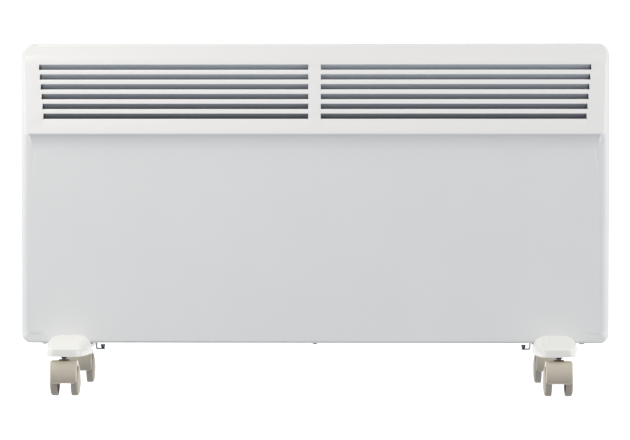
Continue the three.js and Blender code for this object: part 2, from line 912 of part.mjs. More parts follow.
function heatShield() {
  const y = backInnerY - shieldStandoff;
  const rear = backInnerY - gap;
  const left = shieldInset - halfWidth;
  const right = partitionX - gap;
  const plate = box(left, right, y - shieldSheet, y, shieldBottom, shieldTop);
  const low = box(left, right, y - shieldSheet, rear, shieldBottom, shieldBottom + shieldSheet);
  const high = box(left, right, y - shieldSheet, rear, shieldTop - shieldSheet, shieldTop);
  return join(plate, low, high);
}

// Curved deflector that turns the warm air forwards to the louvres.
function airGuide() {
  const rear = backInnerY - gap;
  const front = faceY + guideFront;
  const top = caseTopZ - sheet - gap;
  const start = guideBottom + guideFlange;
  const steps = 7;
  const line = [[rear, guideBottom]];
  for (let i = 0; i <= steps; i += 1) {
    const angle = ((Math.PI / 2) * i) / steps;
    line.push([
      front + (rear - front) * Math.cos(angle),
      start + (top - start) * Math.sin(angle),
    ]);
  }
  return foldedSheet(line, guideSheet, guideInset - halfWidth, halfWidth - guideInset);
}

function partition() {
  const rear = backInnerY - gap;
  const front = faceY + sheet + gap;
  const low = floorTopZ + gap;
  const x1 = partitionX + partitionSheet;
  const plate = box(partitionX, x1, front, rear, low, partitionTop);
  const flange = box(partitionX, x1 + partitionFlange, rear - partitionSheet, rear, low, partitionTop);
  const holes = [terminalHeight, cutoutHeight].map((z) =>
    pinX(controlY, z, boreRadius(partitionHole / 2, 12), partitionX - 1, x1 + 1, 12),
  );
  const clearTongue = box(partitionX - 1, x1 + 1, front - 1, faceY + tongueFront, 0, bottomRound + sheet);
  return cut(plate.add(flange), ...holes, clearTongue);
}

addPiece(casing, "heat_shield", heatShield(), zincSteel);
addPiece(casing, "air_guide", airGuide(), zincSteel);
addPiece(casing, "control_partition", partition(), zincSteel);

// ---------------------------------------------------------------- controls

function fascia() {
  const shape = roundedOutline(fasciaWidth / 2, fasciaBottom, fasciaTop, fasciaCorner);
  const plate = alongX(shape, fasciaX, fasciaX + fasciaThickness).translate([0, controlY, 0]);
  return cut(plate, ...controlHoles, shaftHole);
}

function thermostatBody() {
  const half = thermostatWidth / 2;
  const x1 = wallInnerX - gap;
  const block = box(x1 - thermostatDepth, x1, -half, half, -half, half);
  const socket = pinX(0, 0, boreRadius(shaftDiameter / 2 + clear, 16), x1 - thermostatDepth / 2, x1 + 1);
  return block.subtract(socket);
}

const shaftStart = wallInnerX - gap - thermostatDepth / 2 + clear;
const knobStart = controlX;
const shaftEnd = knobStart + knobThickness * 0.6;

function thermostatShaft() {
  return turnedX(pinProfile(shaftDiameter / 2, shaftStart, shaftEnd), 12);
}

function thermostatKnob() {
  const skirt = knobThickness - knobRidgeHeight;
  const body = turnedX(
    [
      [0, knobStart],
      [knobRadius, knobStart],
      [knobRadius, knobStart + 2.5],
      [knobRadius - 1.5, knobStart + skirt - 0.8],
      [knobRadius - 2.3, knobStart + skirt],
      [0, knobStart + skirt],
    ],
    28,
  );
  const reach = knobRadius - 2.6;
  const ridge = box(
    knobStart + 1,
    knobStart + knobThickness,
    -knobRidge / 2,
    knobRidge / 2,
    -reach,
    reach,
  );
  const socket = pinX(0, 0, boreRadius(shaftDiameter / 2 + gap, 16), knobStart - 1, shaftEnd + gap);
  return body.add(ridge).subtract(socket);
}

const rockerPivotX = controlX + bezelThickness - 1.4;

// Housing snapped through the wall: a bezel outside, and a recess for the rocker.
function switchBody() {
  const halfY = switchWidth / 2;
  const halfZ = switchLength / 2;
  const front = controlX + bezelThickness;
  const block = box(front - switchDepth, front, -halfY, halfY, -halfZ, halfZ);
  const bezel = box(
    controlX,
    front,
    -halfY - bezelLip,
    halfY + bezelLip,
    -halfZ - bezelLip,
    halfZ + bezelLip,
  );
  const y = rockerWidth / 2 + clear;
  const z = rockerLength / 2 + 2 * clear;
  const recess = box(rockerPivotX - rockerRoom / 2, front + 1, -y, y, -z, z);
  return block.add(bezel).subtract(recess);
}

// Rocker seen from the side: two faces that meet in a shallow valley, over a round back.
function switchRocker() {
  const half = rockerLength / 2;
  const proud = 2.2;
  const valley = 1.1;
  const back = -rockerThickness / 2;
  const shape = new THREE.Shape();
  shape.moveTo(-half, 0);
  shape.quadraticCurveTo(0, 2 * back, half, 0);
  shape.lineTo(half, proud);
  shape.lineTo(0, valley);
  shape.lineTo(-half, proud);
  const geometry = extruded(shape, rockerWidth).translate(0, 0, -rockerWidth / 2);
  // outline (u, v) = (z, x): u runs up, v runs outwards
  geometry.applyMatrix4(
    new THREE.Matrix4().makeBasis(
      new THREE.Vector3(0, 0, 1),
      new THREE.Vector3(1, 0, 0),
      new THREE.Vector3(0, 1, 0),
    ),
  );
  return solid(geometry);
}

addPiece(casing, "control_fascia", fascia(), greyPlastic);
addPiece(casing, "thermostat_body", thermostatBody(), blackPlastic, [0, controlY, knobHeight]);
addPiece(casing, "thermostat_shaft", thermostatShaft(), shaftSteel, [0, controlY, knobHeight]);
addPiece(casing, "thermostat_knob", thermostatKnob(), whitePlastic, [0, controlY, knobHeight]);
const rockerTurn = [0, THREE.MathUtils.degToRad(rockerTilt), 0];
["high", "low"].forEach((name, i) => {
  const place = [0, controlY, switchHeights[i]];
  addPiece(casing, name + "_switch_body", switchBody(), blackPlastic, place);
  const pivot = [rockerPivotX, controlY, switchHeights[i]];
  addPiece(casing, name + "_switch_rocker", switchRocker(), whitePlastic, pivot, rockerTurn);
});

// ---------------------------------------------------------------- supply and wiring

function terminalBlock() {
  const rear = backInnerY - gap;
  const half = terminalLength / 2;
  let body = box(-half, half, rear - terminalDepth / 2, rear, 0, terminalTall);
  for (const step of [-1, 0, 1]) {
    const x = (step * terminalLength) / 3;
    const pole = terminalLength / 8;
    body = body.add(box(x - pole, x + pole, rear - terminalDepth, rear - 1, 0, terminalTall));
  }
  return body;
}

// Gland with an open bore, its nose outside and its nut inside the wall.
function cordGland() {
  const inner = wallInnerX - gap;
  const profile = [
    [glandBore, inner - glandNut],
    [glandFlange, inner - glandNut],
    [glandFlange, inner],
    [glandRadius, inner],
    [glandRadius, fasciaX],
    [glandFlange, fasciaX],
    [glandFlange, fasciaX + fasciaThickness],
    [glandRadius, fasciaX + fasciaThickness + 1],
    [glandRadius - 2, fasciaX + fasciaThickness + glandNose],
    [glandBore, fasciaX + fasciaThickness + glandNose],
    [glandBore, inner - glandNut],
  ];
  return turnedX(profile, 20);
}

function thermalCutout() {
  const y = backInnerY - shieldStandoff - shieldSheet - gap;
  const half = cutoutSize / 2;
  const block = box(-half, half, y - cutoutDepth, y, -half, half);
  const ear = box(-cutoutSize, cutoutSize, y - cutoutEar, y, -half / 2, half / 2);
  return block.add(ear);
}

addPiece(casing, "terminal_block", terminalBlock(), whitePlastic, [terminalX, 0, terminalHeight]);
addPiece(casing, "cord_gland", cordGland(), blackPlastic, [0, controlY, glandHeight]);
addPiece(casing, "thermal_cutout", thermalCutout(), blackPlastic, [cutoutX, 0, cutoutHeight]);

const terminalTop = terminalHeight + terminalTall + gap;
const terminalY = backInnerY - gap - terminalDepth * 0.7;
const poleX = (step) => terminalX + (step * terminalLength) / 3;
const thermostatLow = knobHeight - thermostatWidth / 2 - gap;
const thermostatX = wallInnerX - gap - thermostatDepth / 2;
const switchBackX = controlX + bezelThickness - switchDepth - gap;
const cutoutY = backInnerY - shieldStandoff - shieldSheet - gap - cutoutDepth / 2;
const rodPinX = {
  left: rodEnds.left - rodPinLength - gap,
  right: rodEnds.right + rodPinLength + gap,
};
const highSwitch = switchHeights[0];

addPiece(
  casing,
  "live_wire",
  wire([
    [poleX(1), terminalY, terminalTop],
    [poleX(1), terminalY, terminalTop + wireStub + wireOffset],
    [poleX(1) - wireSlack, controlY - wireBend, (terminalTop + thermostatLow) / 2],
    [thermostatX - wireStub, controlY - wireStub, thermostatLow - wireBend - wireOffset],
    [thermostatX - wireOffset, controlY - wireOffset, thermostatLow - wireStub],
    [thermostatX - wireOffset, controlY - wireOffset, thermostatLow],
  ]),
  brownWire,
);
addPiece(
  casing,
  "earth_wire",
  wire([
    [poleX(0), terminalY, terminalTop],
    [poleX(0), terminalY, terminalTop + wireStub],
    [poleX(0) - wireOffset, terminalY + wireOffset / 2, terminalTop + wireBend + wireStub],
    [poleX(0) - wireOffset, backInnerY - wireStub, terminalTop + 2 * wireBend],
    [poleX(0) - wireOffset, backInnerY - 2 * gap, terminalTop + 2 * wireBend],
  ]),
  earthWire,
);
addPiece(
  casing,
  "neutral_wire",
  wire([
    [terminalX - terminalLength / 2 - gap, controlY, terminalHeight],
    [partitionX + wireOffset, controlY, terminalHeight],
    [partitionX - wireStub, controlY, terminalHeight - wireRadius],
    [elementX.right + wireBend, controlY + wireOffset, shieldBottom - wireBend],
    [0, controlY + wireOffset, shieldBottom - wireBend - wireRadius],
    [elementX.left, controlY + wireOffset, shieldBottom - wireBend],
    [rodPinX.left - wireBend, controlY - wireBend, shieldBottom],
    [rodPinX.left - wireBend, elementY, elementHeight - wireStub],
    [rodPinX.left - wireStub, elementY, elementHeight],
    [rodPinX.left, elementY, elementHeight],
  ]),
  blueWire,
);
addPiece(
  casing,
  "switched_wire",
  wire([
    [switchBackX, controlY, highSwitch],
    [switchBackX - wireStub, controlY, highSwitch],
    [partitionX + wireBend, controlY, cutoutHeight - wireRadius],
    [partitionX + wireOffset, controlY, cutoutHeight],
    [partitionX - wireStub, controlY, cutoutHeight],
    [partitionX - wireBend - wireOffset, cutoutY, cutoutHeight + wireRadius],
    [cutoutX + cutoutSize + wireBend, cutoutY, cutoutHeight + wireRadius],
    [cutoutX + cutoutSize / 2 + gap, cutoutY, cutoutHeight],
  ]),
  blackWire,
);
addPiece(
  casing,
  "element_lead",
  wire([
    [cutoutX, cutoutY, cutoutHeight - cutoutSize / 2 - gap],
    [cutoutX, cutoutY, cutoutHeight - cutoutSize / 2 - wireStub],
    [elementX.right + wireStub, elementY + wireSlack, elementHeight + wireSlack + wireOffset],
    [rodPinX.right + wireStub, elementY + wireStub, elementHeight + wireStub],
    [rodPinX.right + wireStub, elementY, elementHeight],
    [rodPinX.right, elementY, elementHeight],
  ]),
  blackWire,
);

// ---------------------------------------------------------------- feet

const hump = casingDepth / 2 + gap; // casing's faces rest against the humps
const footHalf = footLength / 2;

// Half width of the foot at a distance along it, front negative.
function footHalfWidth(y) {
  const fromNose = footHalf - Math.abs(y);
  const nose =
    fromNose < footNoseRound
      ? footNoseRound - Math.sqrt(footNoseRound ** 2 - (footNoseRound - fromNose) ** 2)
      : 0;
  let width = footNoseHalf;
  if (y < -hump) {
    const share = (y + footHalf) / (footHalf - hump);
    width = mix(footNoseHalf, footShoulderHalf, Math.sin((share * Math.PI) / 2));
  } else if (y < -hump + saddleTaper) {
    width = mix(footShoulderHalf, footSaddleHalf, (y + hump) / saddleTaper);
  } else {
    width = mix(footSaddleHalf, footNoseHalf, (y + hump - saddleTaper) / hump);
  }
  return width - nose;
}

function footTop(y) {
  const out = (Math.abs(y) - hump - humpWall) / (footHalf - hump - humpWall);
  const drop = 1 - Math.cos((Math.min(1, Math.max(0, out)) * Math.PI) / 2) ** 0.85;
  return mix(footHumpHeight, footNoseHeight, drop);
}

// Cross-section: upright walls, then a dome to a flat crown.
function footSection(y) {
  const half = footHalfWidth(y);
  const top = footTop(y);
  const rise = (top - footNoseHeight) / (footHumpHeight - footNoseHeight);
  const wall = mix(footNoseWall, footHumpWall, rise);
  const domeHalf = half - mix(0.5, footLedge, rise);
  const flat = Math.min(domeHalf - 1, mix(footNoseHalf - 4.5, footHumpFlat, rise));
  const points = [new THREE.Vector3(-half, y, 0), new THREE.Vector3(-half, y, wall)];
  const arcSteps = 5;
  const start = THREE.MathUtils.degToRad(footDomeStart);
  const [startCos, startSin] = [Math.cos(start), Math.sin(start)];
  for (let i = 0; i <= arcSteps; i += 1) {
    const angle = mix(start, Math.PI / 2, i / arcSteps);
    const x = flat + ((domeHalf - flat) * Math.cos(angle)) / startCos;
    const share = (Math.sin(angle) - startSin) / (1 - startSin);
    points.push(new THREE.Vector3(-x, y, wall + 0.3 + (top - wall - 0.3) * share));
  }
  const mirrored = points.map((p) => new THREE.Vector3(-p.x, p.y, p.z)).reverse();
  return [...points, ...mirrored];
}

const socketDepth = stemUpper + 1;

function foot(outward) {
  const slope = footHalf - hump - humpWall;
  const noseShares = [0, 0.05, 0.15, 0.35, 0.65, 1];
  const slopeShares = [0.27, 0.46, 0.67, 0.85, 1];
  const places = [
    ...noseShares.map((share) => share * footNoseRound),
    ...slopeShares.map((share) => share * slope),
  ];
  const front = places.map((d) => d - footHalf);
  front.push(-hump, -hump + saddleTaper / 2, -hump + saddleTaper);
  const rear = places.map((d) => footHalf - d).reverse();
  const form = lofted([...front, 0, hump, ...rear].map(footSection));
  const saddle = box(-footShoulderHalf, footShoulderHalf, -hump, hump, footThickness, footHumpHeight + 1);
  const pockets = [-footPocketOffset, footPocketOffset].map((y) =>
    box(
      -footPocketHalf,
      footPocketHalf,
      y - footPocketLength / 2,
      y + footPocketLength / 2,
      -1,
      footPocketDepth,
    ),
  );
  const socket = boreRadius(stemDiameter / 2 + clear, 16);
  const socketX = outward * stemOutset;
  const socketYs = [-casterSpacing / 2, casterSpacing / 2];
  const sockets = socketYs.map((y) => pinZ(socketX, y, socket, -1, socketDepth));
  const shank = pinZ(0, screwY, boreRadius(footScrewShank / 2 + clear, 12), -1, footThickness + 1, 12);
  const sinkTop = footThickness / 2;
  const sink = pinZ(0, screwY, boreRadius(footScrewHead / 2 + clear, 16), -1, sinkTop);
  return cut(form, saddle, ...pockets, ...sockets, shank, sink);
}

// Shank and head of the screw that pulls a foot up against the casing.
function footScrew() {
  const head = footThickness / 2 - gap;
  const shank = footScrewShank / 2;
  const radius = footScrewHead / 2;
  return turnedZ(
    [
      [0, head - footScrewHeadHeight],
      [radius * 0.7, head - footScrewHeadHeight],
      [radius, head - footScrewHeadHeight / 2],
      [radius, head],
      [shank, head],
      [shank, footThickness + gap + floorTopZ + 4],
      [0, footThickness + gap + floorTopZ + 4],
    ],
    12,
  );
}

// ---------------------------------------------------------------- casters

// Side view of the hood in (y, z), stem at y = 0 and front negative.
function hoodShape() {
  const shape = new THREE.Shape();
  const frontLow = -hoodFront + hoodLowBack;
  const frontHigh = -hoodFront + hoodHighBack;
  const middle = (hoodBottom + hoodTop) / 2;
  shape.moveTo(frontLow, hoodBottom);
  shape.quadraticCurveTo(-hoodFront - hoodBulge, middle, frontHigh, hoodTop - hoodShoulder);
  shape.quadraticCurveTo(frontHigh + hoodBulge, hoodTop, frontLow + hoodShoulder, hoodTop);
  shape.lineTo(stemCollar / 2 + stemCollarHeight, hoodTop);
  const arcSteps = 5;
  for (let i = 0; i <= arcSteps; i += 1) {
    const angle = THREE.MathUtils.degToRad(mix(hoodCrownAngle, hoodRearAngle, i / arcSteps));
    shape.lineTo(trail + hoodRadius * Math.cos(angle), wheelAxleZ + hoodRadius * Math.sin(angle));
  }
  shape.lineTo(trail, wheelAxleZ);
  shape.lineTo(frontLow, hoodBottom);
  return shape;
}

function hood() {
  const half = hoodWidth / 2;
  const whole = alongX(hoodShape(), -half, half);
  const room = wheelRadius + wheelRoom;
  const web = wheelGap / 2 - hoodWebGap;
  const wheelSpace = (x0, x1) => pinX(trail, wheelAxleZ, boreRadius(room, 28), x0, x1, 28);
  const below = box(-half - 1, half + 1, -hoodFront - 5, trail * 4, -1, hoodBottom);
  const boss = pinX(trail, wheelAxleZ, axleDiameter / 2 + axleBossWall, -web, web, 12);
  const [bossFront, bossRear] = [trail - hoodBossHalf, trail + hoodBossHalf];
  const bossTop = box(-web, web, bossFront, bossRear, wheelAxleZ, wheelAxleZ + hoodBossRise);
  const round = roundedOutline(half, hoodBottom, hoodTop + hoodCorner + 1, hoodCorner);
  const envelope = alongY(round, -hoodFront - 5, trail * 4);
  const stemHole = pinZ(0, 0, boreRadius(stemPin / 2 + clear, 16), hoodTop - stemLower - 1, hoodTop + 1);
  const axleHole = pinX(trail, wheelAxleZ, boreRadius(axleDiameter / 2 + clear, 12), -half, half, 12);
  const shell = cut(whole, wheelSpace(-half - 1, -web), wheelSpace(web, half + 1), below);
  return cut(join(shell.intersect(envelope), boss, bossTop), stemHole, axleHole);
}

function casterStem() {
  const collar = hoodTop + gap;
  const seat = footUnderside - gap;
  const tip = footUnderside + stemUpper;
  const pin = stemPin / 2;
  return turnedZ(
    [
      [0, hoodTop - stemLower],
      [pin, hoodTop - stemLower],
      [pin, collar],
      [stemCollar / 2, collar],
      [stemCollar / 2, collar + stemCollarHeight],
      [pin, collar + stemCollarHeight],
      [pin, seat - 3],
      [stemFlange / 2, seat - 0.6],
      [stemFlange / 2, seat],
      [stemDiameter / 2, seat],
      [stemDiameter / 2, tip],
      [0, tip],
    ],
    16,
  );
}

function axle() {
  return turnedX(pinProfile(axleDiameter / 2, -axleLength / 2, axleLength / 2), 12);
}

// Wheel on the +X side: flat tread, domed outer face, blind bore from the inner face.
function wheel() {
  const sides = 24;
  const grow = 1 / Math.cos(Math.PI / sides);
  const inner = wheelGap / 2;
  const outer = inner + wheelWidth;
  const bore = boreRadius(axleDiameter / 2 + clear, sides);
  const boreEnd = axleLength / 2 + clear;
  return turnedX(
    [
      [0, boreEnd],
      [bore, boreEnd],
      [bore, inner],
      [(wheelRadius - 0.8) * grow, inner],
      [wheelRadius * grow, inner + 0.8],
      [wheelRadius * grow, outer - wheelDome],
      [wheelRadius - 1.2, outer - wheelDome * 0.4],
      [wheelRadius * 0.72, outer - 0.3],
      [0, outer],
    ],
    sides,
  );
}

for (const [sideName, footX] of Object.entries(footXs)) {
  const outward = Math.sign(footX);
  const carrier = new THREE.Group();
  carrier.position.set(footX, 0, footUnderside);
  heater.add(carrier);
  addPiece(carrier, sideName + "_foot", foot(outward), whitePlastic);
  addPiece(carrier, sideName + "_foot_screw", footScrew(), darkSteel, [0, screwY, 0]);
  for (const [endName, end] of [["front", -1], ["rear", 1]]) {
    const name = endName + "_" + sideName;
    const caster = new THREE.Group();
    caster.position.set(footX + outward * stemOutset, (end * casterSpacing) / 2, 0);
    heater.add(caster);
    addPiece(caster, name + "_stem", casterStem(), darkSteel);
    addPiece(caster, name + "_hood", hood(), beigePlastic);
    const axlePlace = [0, trail, wheelAxleZ];
    addPiece(caster, name + "_axle", axle(), shaftSteel, axlePlace);
    addPiece(caster, name + "_wheel_a", wheel().mirror([1, 0, 0]), greyTread, axlePlace);
    addPiece(caster, name + "_wheel_b", wheel(), greyTread, axlePlace);
  }
}

export default heater;
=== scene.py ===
# %% [markdown]
# # A panel convector heater on casters
#
# The heater is a long flat steel box on two white plastic feet. A tilted louvre face lets the
# warm air out at the top, and each foot rolls on two swivelling casters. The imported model
# already holds every part in its place, so this lesson only gives each part its real surface:
# rounded sheet edges, soft mouldings and a finish of its own.

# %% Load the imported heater
import math

import bmesh
import bpy
import numpy as np
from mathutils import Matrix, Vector
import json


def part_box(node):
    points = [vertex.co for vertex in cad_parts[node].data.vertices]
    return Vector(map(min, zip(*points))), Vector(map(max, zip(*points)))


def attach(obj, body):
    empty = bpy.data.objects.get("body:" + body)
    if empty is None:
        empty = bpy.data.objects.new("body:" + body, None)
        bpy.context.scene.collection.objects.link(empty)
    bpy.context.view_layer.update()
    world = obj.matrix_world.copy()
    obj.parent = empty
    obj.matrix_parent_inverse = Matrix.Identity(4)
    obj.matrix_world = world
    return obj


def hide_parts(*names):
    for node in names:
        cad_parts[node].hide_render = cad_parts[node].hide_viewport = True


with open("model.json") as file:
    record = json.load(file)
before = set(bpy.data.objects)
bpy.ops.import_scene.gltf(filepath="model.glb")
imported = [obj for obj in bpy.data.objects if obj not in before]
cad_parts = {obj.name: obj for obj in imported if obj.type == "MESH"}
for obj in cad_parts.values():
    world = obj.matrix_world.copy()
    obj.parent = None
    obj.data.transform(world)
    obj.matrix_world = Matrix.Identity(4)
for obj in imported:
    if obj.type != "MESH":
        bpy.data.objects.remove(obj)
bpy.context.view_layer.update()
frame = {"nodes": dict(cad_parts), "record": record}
nodes = frame["nodes"]

# %% [markdown]
# ## Values that every step uses
#
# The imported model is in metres, but a maker thinks of sheet metal in millimetres. So the
# shapes below are worked out in millimetres and scaled once, when their mesh is made. The
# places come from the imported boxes, and only the forms that a box can't tell are named here.

# %% Places read from the frame, in millimetres
MM = 0.001


def box_mm(node):
    """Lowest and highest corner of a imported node, in millimetres."""
    low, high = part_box(node)
    return np.array(low) / MM, np.array(high) / MM


panel_low, panel_high = box_mm("front_panel")
half_width = (panel_high[0] - panel_low[0]) / 2
casing_bottom = panel_low[2]
casing_height = panel_high[2] - panel_low[2]
louvre_proud = 9.0
face_y = panel_low[1] + louvre_proud
panel_rear_y = panel_high[1]
print("casing", round(2 * half_width, 1), "x", round(casing_height, 1), "face at", round(face_y, 2))

# %% [markdown]
# ## The camera
#
# The photograph was taken from far away with a long lens: both feet are seen almost straight
# on, yet the inner side of each one shows, so the camera stands in front of the heater's
# middle and a little above it. A camera that is turned, and not shifted, keeps the heater in
# the middle of every other view too.

# %% Camera
frame_width = 630
sensor = 36.0
focal_pixels = 2415.0
to_the_right, in_front, above_floor = 62.8, 3393.5, 352.9
look_down, look_left = 1.831, 1.049

camera_data = bpy.data.cameras.new("camera")
camera_data.sensor_fit = "HORIZONTAL"
camera_data.sensor_width = sensor
camera_data.lens = sensor * focal_pixels / frame_width
camera_data.clip_start = 0.1
camera_data.clip_end = 100
camera = bpy.data.objects.new("camera", camera_data)
bpy.context.scene.collection.objects.link(camera)
camera.location = (to_the_right * MM, (face_y - in_front) * MM, above_floor * MM)
camera.rotation_euler = (math.radians(90 - look_down), 0, math.radians(look_left))
bpy.context.scene.camera = camera
print("lens", round(camera_data.lens, 1), "mm")

# %% [markdown]
# ## Small helpers for meshes
#
# Almost every moulded or pressed surface can be written as a grid: rows of points, where four
# neighbours make a face. A lathe profile, a sheet with rounded edges and a lofted foot are all
# grids, so one function turns grids into a mesh. It welds the points that meet, which closes
# seams and poles, and marks only the real edges as sharp.


# %% Grids of points become a mesh
def grid_faces(rows, columns, start):
    """Four-cornered faces of a rows by columns grid whose first point has the number start."""
    index = start + np.arange(rows * columns).reshape(rows, columns)
    corners = [index[:-1, :-1], index[:-1, 1:], index[1:, 1:], index[1:, :-1]]
    return np.stack(corners, -1).reshape(-1, 4)


def soften(mesh, sharp):
    """Smooth shading, apart from edges that turn by more than sharp degrees."""
    mesh.polygons.foreach_set("use_smooth", np.ones(len(mesh.polygons), bool))
    mesh.set_sharp_from_angle(angle=math.radians(sharp))


def mesh_of(name, grids, closed=True, sharp=32, turn=False):
    """One mesh from grids of points in millimetres. Each entry is a grid or (grid, finish)."""
    pairs = [g if isinstance(g, tuple) else (g, 0) for g in grids]
    starts = np.cumsum([0] + [g.shape[0] * g.shape[1] for g, _ in pairs])
    points = np.concatenate([g.reshape(-1, 3) for g, _ in pairs]) * MM
    faces = [grid_faces(*g.shape[:2], s) for (g, _), s in zip(pairs, starts)]
    slots = np.concatenate([np.full(len(f), slot) for f, (_, slot) in zip(faces, pairs)])
    mesh = bpy.data.meshes.new(name)
    mesh.from_pydata(points.tolist(), [], np.concatenate(faces).tolist())
    mesh.polygons.foreach_set("material_index", slots)
    work = bmesh.new()
    work.from_mesh(mesh)
    bmesh.ops.remove_doubles(work, verts=work.verts, dist=2e-6)
    if closed:
        bmesh.ops.recalc_face_normals(work, faces=work.faces)
    if turn:
        bmesh.ops.reverse_faces(work, faces=work.faces)
    work.to_mesh(mesh)
    work.free()
    soften(mesh, sharp)
    return mesh


def moved(mesh, offset):
    """A copy of a mesh, moved by an offset in millimetres."""
    copy = mesh.copy()
    places = np.empty(len(copy.vertices) * 3, np.float32)
    copy.vertices.foreach_get("co", places)
    places = places.reshape(-1, 3) + np.array(offset, np.float32) * MM
    copy.vertices.foreach_set("co", places.ravel())
    copy.update()
    return copy


# %% [markdown]
# A finished piece rides on the body of the imported part it stands for, hides that part, and
# takes its finish. `dress` does that for a new mesh. `trimmed` does it for a part whose
# imported shape is already right: it copies the mesh, welds it and gives its corners the small
# rounding that every bent or moulded edge has.


# %% Pieces join the frame
def dress(mesh, name, node, materials):
    """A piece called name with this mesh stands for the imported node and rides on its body."""
    piece = bpy.data.objects.new(name, mesh)
    bpy.context.scene.collection.objects.link(piece)
    for material in materials:
        mesh.materials.append(material)
    bodies = frame["record"]["behaviour"]["bodies"]
    body = next(b for b, members in bodies.items() if node in members)
    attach(piece, body)
    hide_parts(node)
    return piece


def rounded_edges(piece, width, angle=35, segments=2):
    """Bevels the piece's edges that turn by more than angle degrees."""
    bevel = piece.modifiers.new("edge rounding", "BEVEL")
    bevel.width = width * MM
    bevel.segments = segments
    bevel.limit_method = "ANGLE"
    bevel.angle_limit = math.radians(angle)
    bevel.harden_normals = False


def trimmed(node, material, width=0.3, sharp=32):
    """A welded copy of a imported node's mesh with slightly rounded edges."""
    mesh = nodes[node].data.copy()
    mesh.materials.clear()
    work = bmesh.new()
    work.from_mesh(mesh)
    bmesh.ops.remove_doubles(work, verts=work.verts, dist=1e-6)
    flat = math.radians(1)
    bmesh.ops.dissolve_limit(work, angle_limit=flat, verts=work.verts, edges=work.edges)
    work.to_mesh(mesh)
    work.free()
    soften(mesh, sharp)
    piece = dress(mesh, node + "_trim", node, [material])
    if width:
        rounded_edges(piece, width)


# %% [markdown]
# ## Small helpers for finishes
#
# A finish is a handful of shader nodes. One function adds a node, sets it up and links it.
# Colours are written as the sRGB values that a picture shows, and turned to the linear values
# that light works with.

# %% Colours and shader nodes
# The Mix node has one set of sockets for each kind of data. These are its colours.
mix_first, mix_second, mix_result = 6, 7, 2


def linear(code):
    """The linear colour of an sRGB hex code such as #ffffff."""
    channels = np.array([int(code[i : i + 2], 16) for i in (1, 3, 5)]) / 255
    low = channels / 12.92
    high = ((channels + 0.055) / 1.055) ** 2.4
    return (*np.where(channels <= 0.04045, low, high).tolist(), 1.0)


def add_node(tree, kind, values=None, links=None, **settings):
    """Adds a shader node with its settings, input values and links from other outputs."""
    node = tree.nodes.new(kind)
    for name, value in settings.items():
        setattr(node, name, value)
    for name, value in (values or {}).items():
        node.inputs[name].default_value = value
    for name, socket in (links or {}).items():
        tree.links.new(socket, node.inputs[name])
    return node


# %% [markdown]
# Most finishes of this heater differ in the same three ways. Their colour wavers between two
# close shades, their gloss between two values, and a shallow relief makes reflections tremble.
# Each of the three follows a noise whose spots have a real width in millimetres. So one
# function builds them all, and a finish reads as a line of colours and sizes. The few finishes
# with a pattern of another kind, such as crystals of zinc, add it afterwards.


# %% What a noise is like
def speckle(width, detail=2.0, coarseness=0.5, squash=(1, 1, 1)):
    """What a noise is like: the width of its spots in millimetres, how many finer layers it has
    and how strong they are, and how much it is squashed along X, Y and Z."""
    return width, detail, coarseness, squash


def parts_of(material):
    """A finish's node tree, its shader and its Object coordinates."""
    tree = material.node_tree
    return tree, tree.nodes["Principled BSDF"], tree.nodes["place"].outputs["Object"]


# %% A finish with its colour, gloss and relief
def new_finish(name, colours, gloss, texture=None, relief=None, clouds=None, sheen=None,
               heights=None, metallic=0.0):
    """One Principled shader. Colours is one code, or a dark and a light one, and gloss one
    roughness, or a low and a high one. The texture's noise drives both and the relief, which is
    a depth in millimetres and a strength. Clouds is a noise for the colour alone, and sheen one
    for the gloss alone. Heights, a low and a high one, let the colour run upwards instead."""
    material = bpy.data.materials.new(name)
    material.use_nodes = True
    add_node(material.node_tree, "ShaderNodeTexCoord", name="place")
    tree, shader, place = parts_of(material)
    shader.inputs["Metallic"].default_value = metallic

    noises = {}
    for noise in filter(None, (texture, clouds, sheen)):
        width, detail, coarseness, squash = noise
        squashed = add_node(tree, "ShaderNodeMapping", {"Scale": squash}, {"Vector": place})
        values = {"Scale": 1 / (width * MM), "Detail": detail, "Roughness": coarseness}
        links = {"Vector": squashed.outputs["Vector"]}
        noises[noise] = add_node(tree, "ShaderNodeTexNoise", values, links).outputs["Fac"]

    if isinstance(colours, str):
        shader.inputs["Base Color"].default_value = linear(colours)
    else:
        if heights:
            up = add_node(tree, "ShaderNodeSeparateXYZ", links={"Vector": place}).outputs["Z"]
            values = {"From Min": heights[0] * MM, "From Max": heights[1] * MM}
            share = add_node(tree, "ShaderNodeMapRange", values, {"Value": up}).outputs[0]
        else:
            share = noises[clouds or texture]
        shades = {mix_first: linear(colours[0]), mix_second: linear(colours[1])}
        mix = add_node(tree, "ShaderNodeMix", shades, {0: share}, data_type="RGBA")
        tree.links.new(mix.outputs[mix_result], shader.inputs["Base Color"])

    if isinstance(gloss, tuple):
        values = {"To Min": gloss[0], "To Max": gloss[1]}
        links = {"Value": noises[sheen or texture]}
        ranged = add_node(tree, "ShaderNodeMapRange", values, links)
        tree.links.new(ranged.outputs["Result"], shader.inputs["Roughness"])
    else:
        shader.inputs["Roughness"].default_value = gloss

    if relief:
        values = {"Strength": relief[1], "Distance": relief[0] * MM}
        bump = add_node(tree, "ShaderNodeBump", values, {"Height": noises[texture]})
        tree.links.new(bump.outputs["Normal"], shader.inputs["Normal"])
    return material
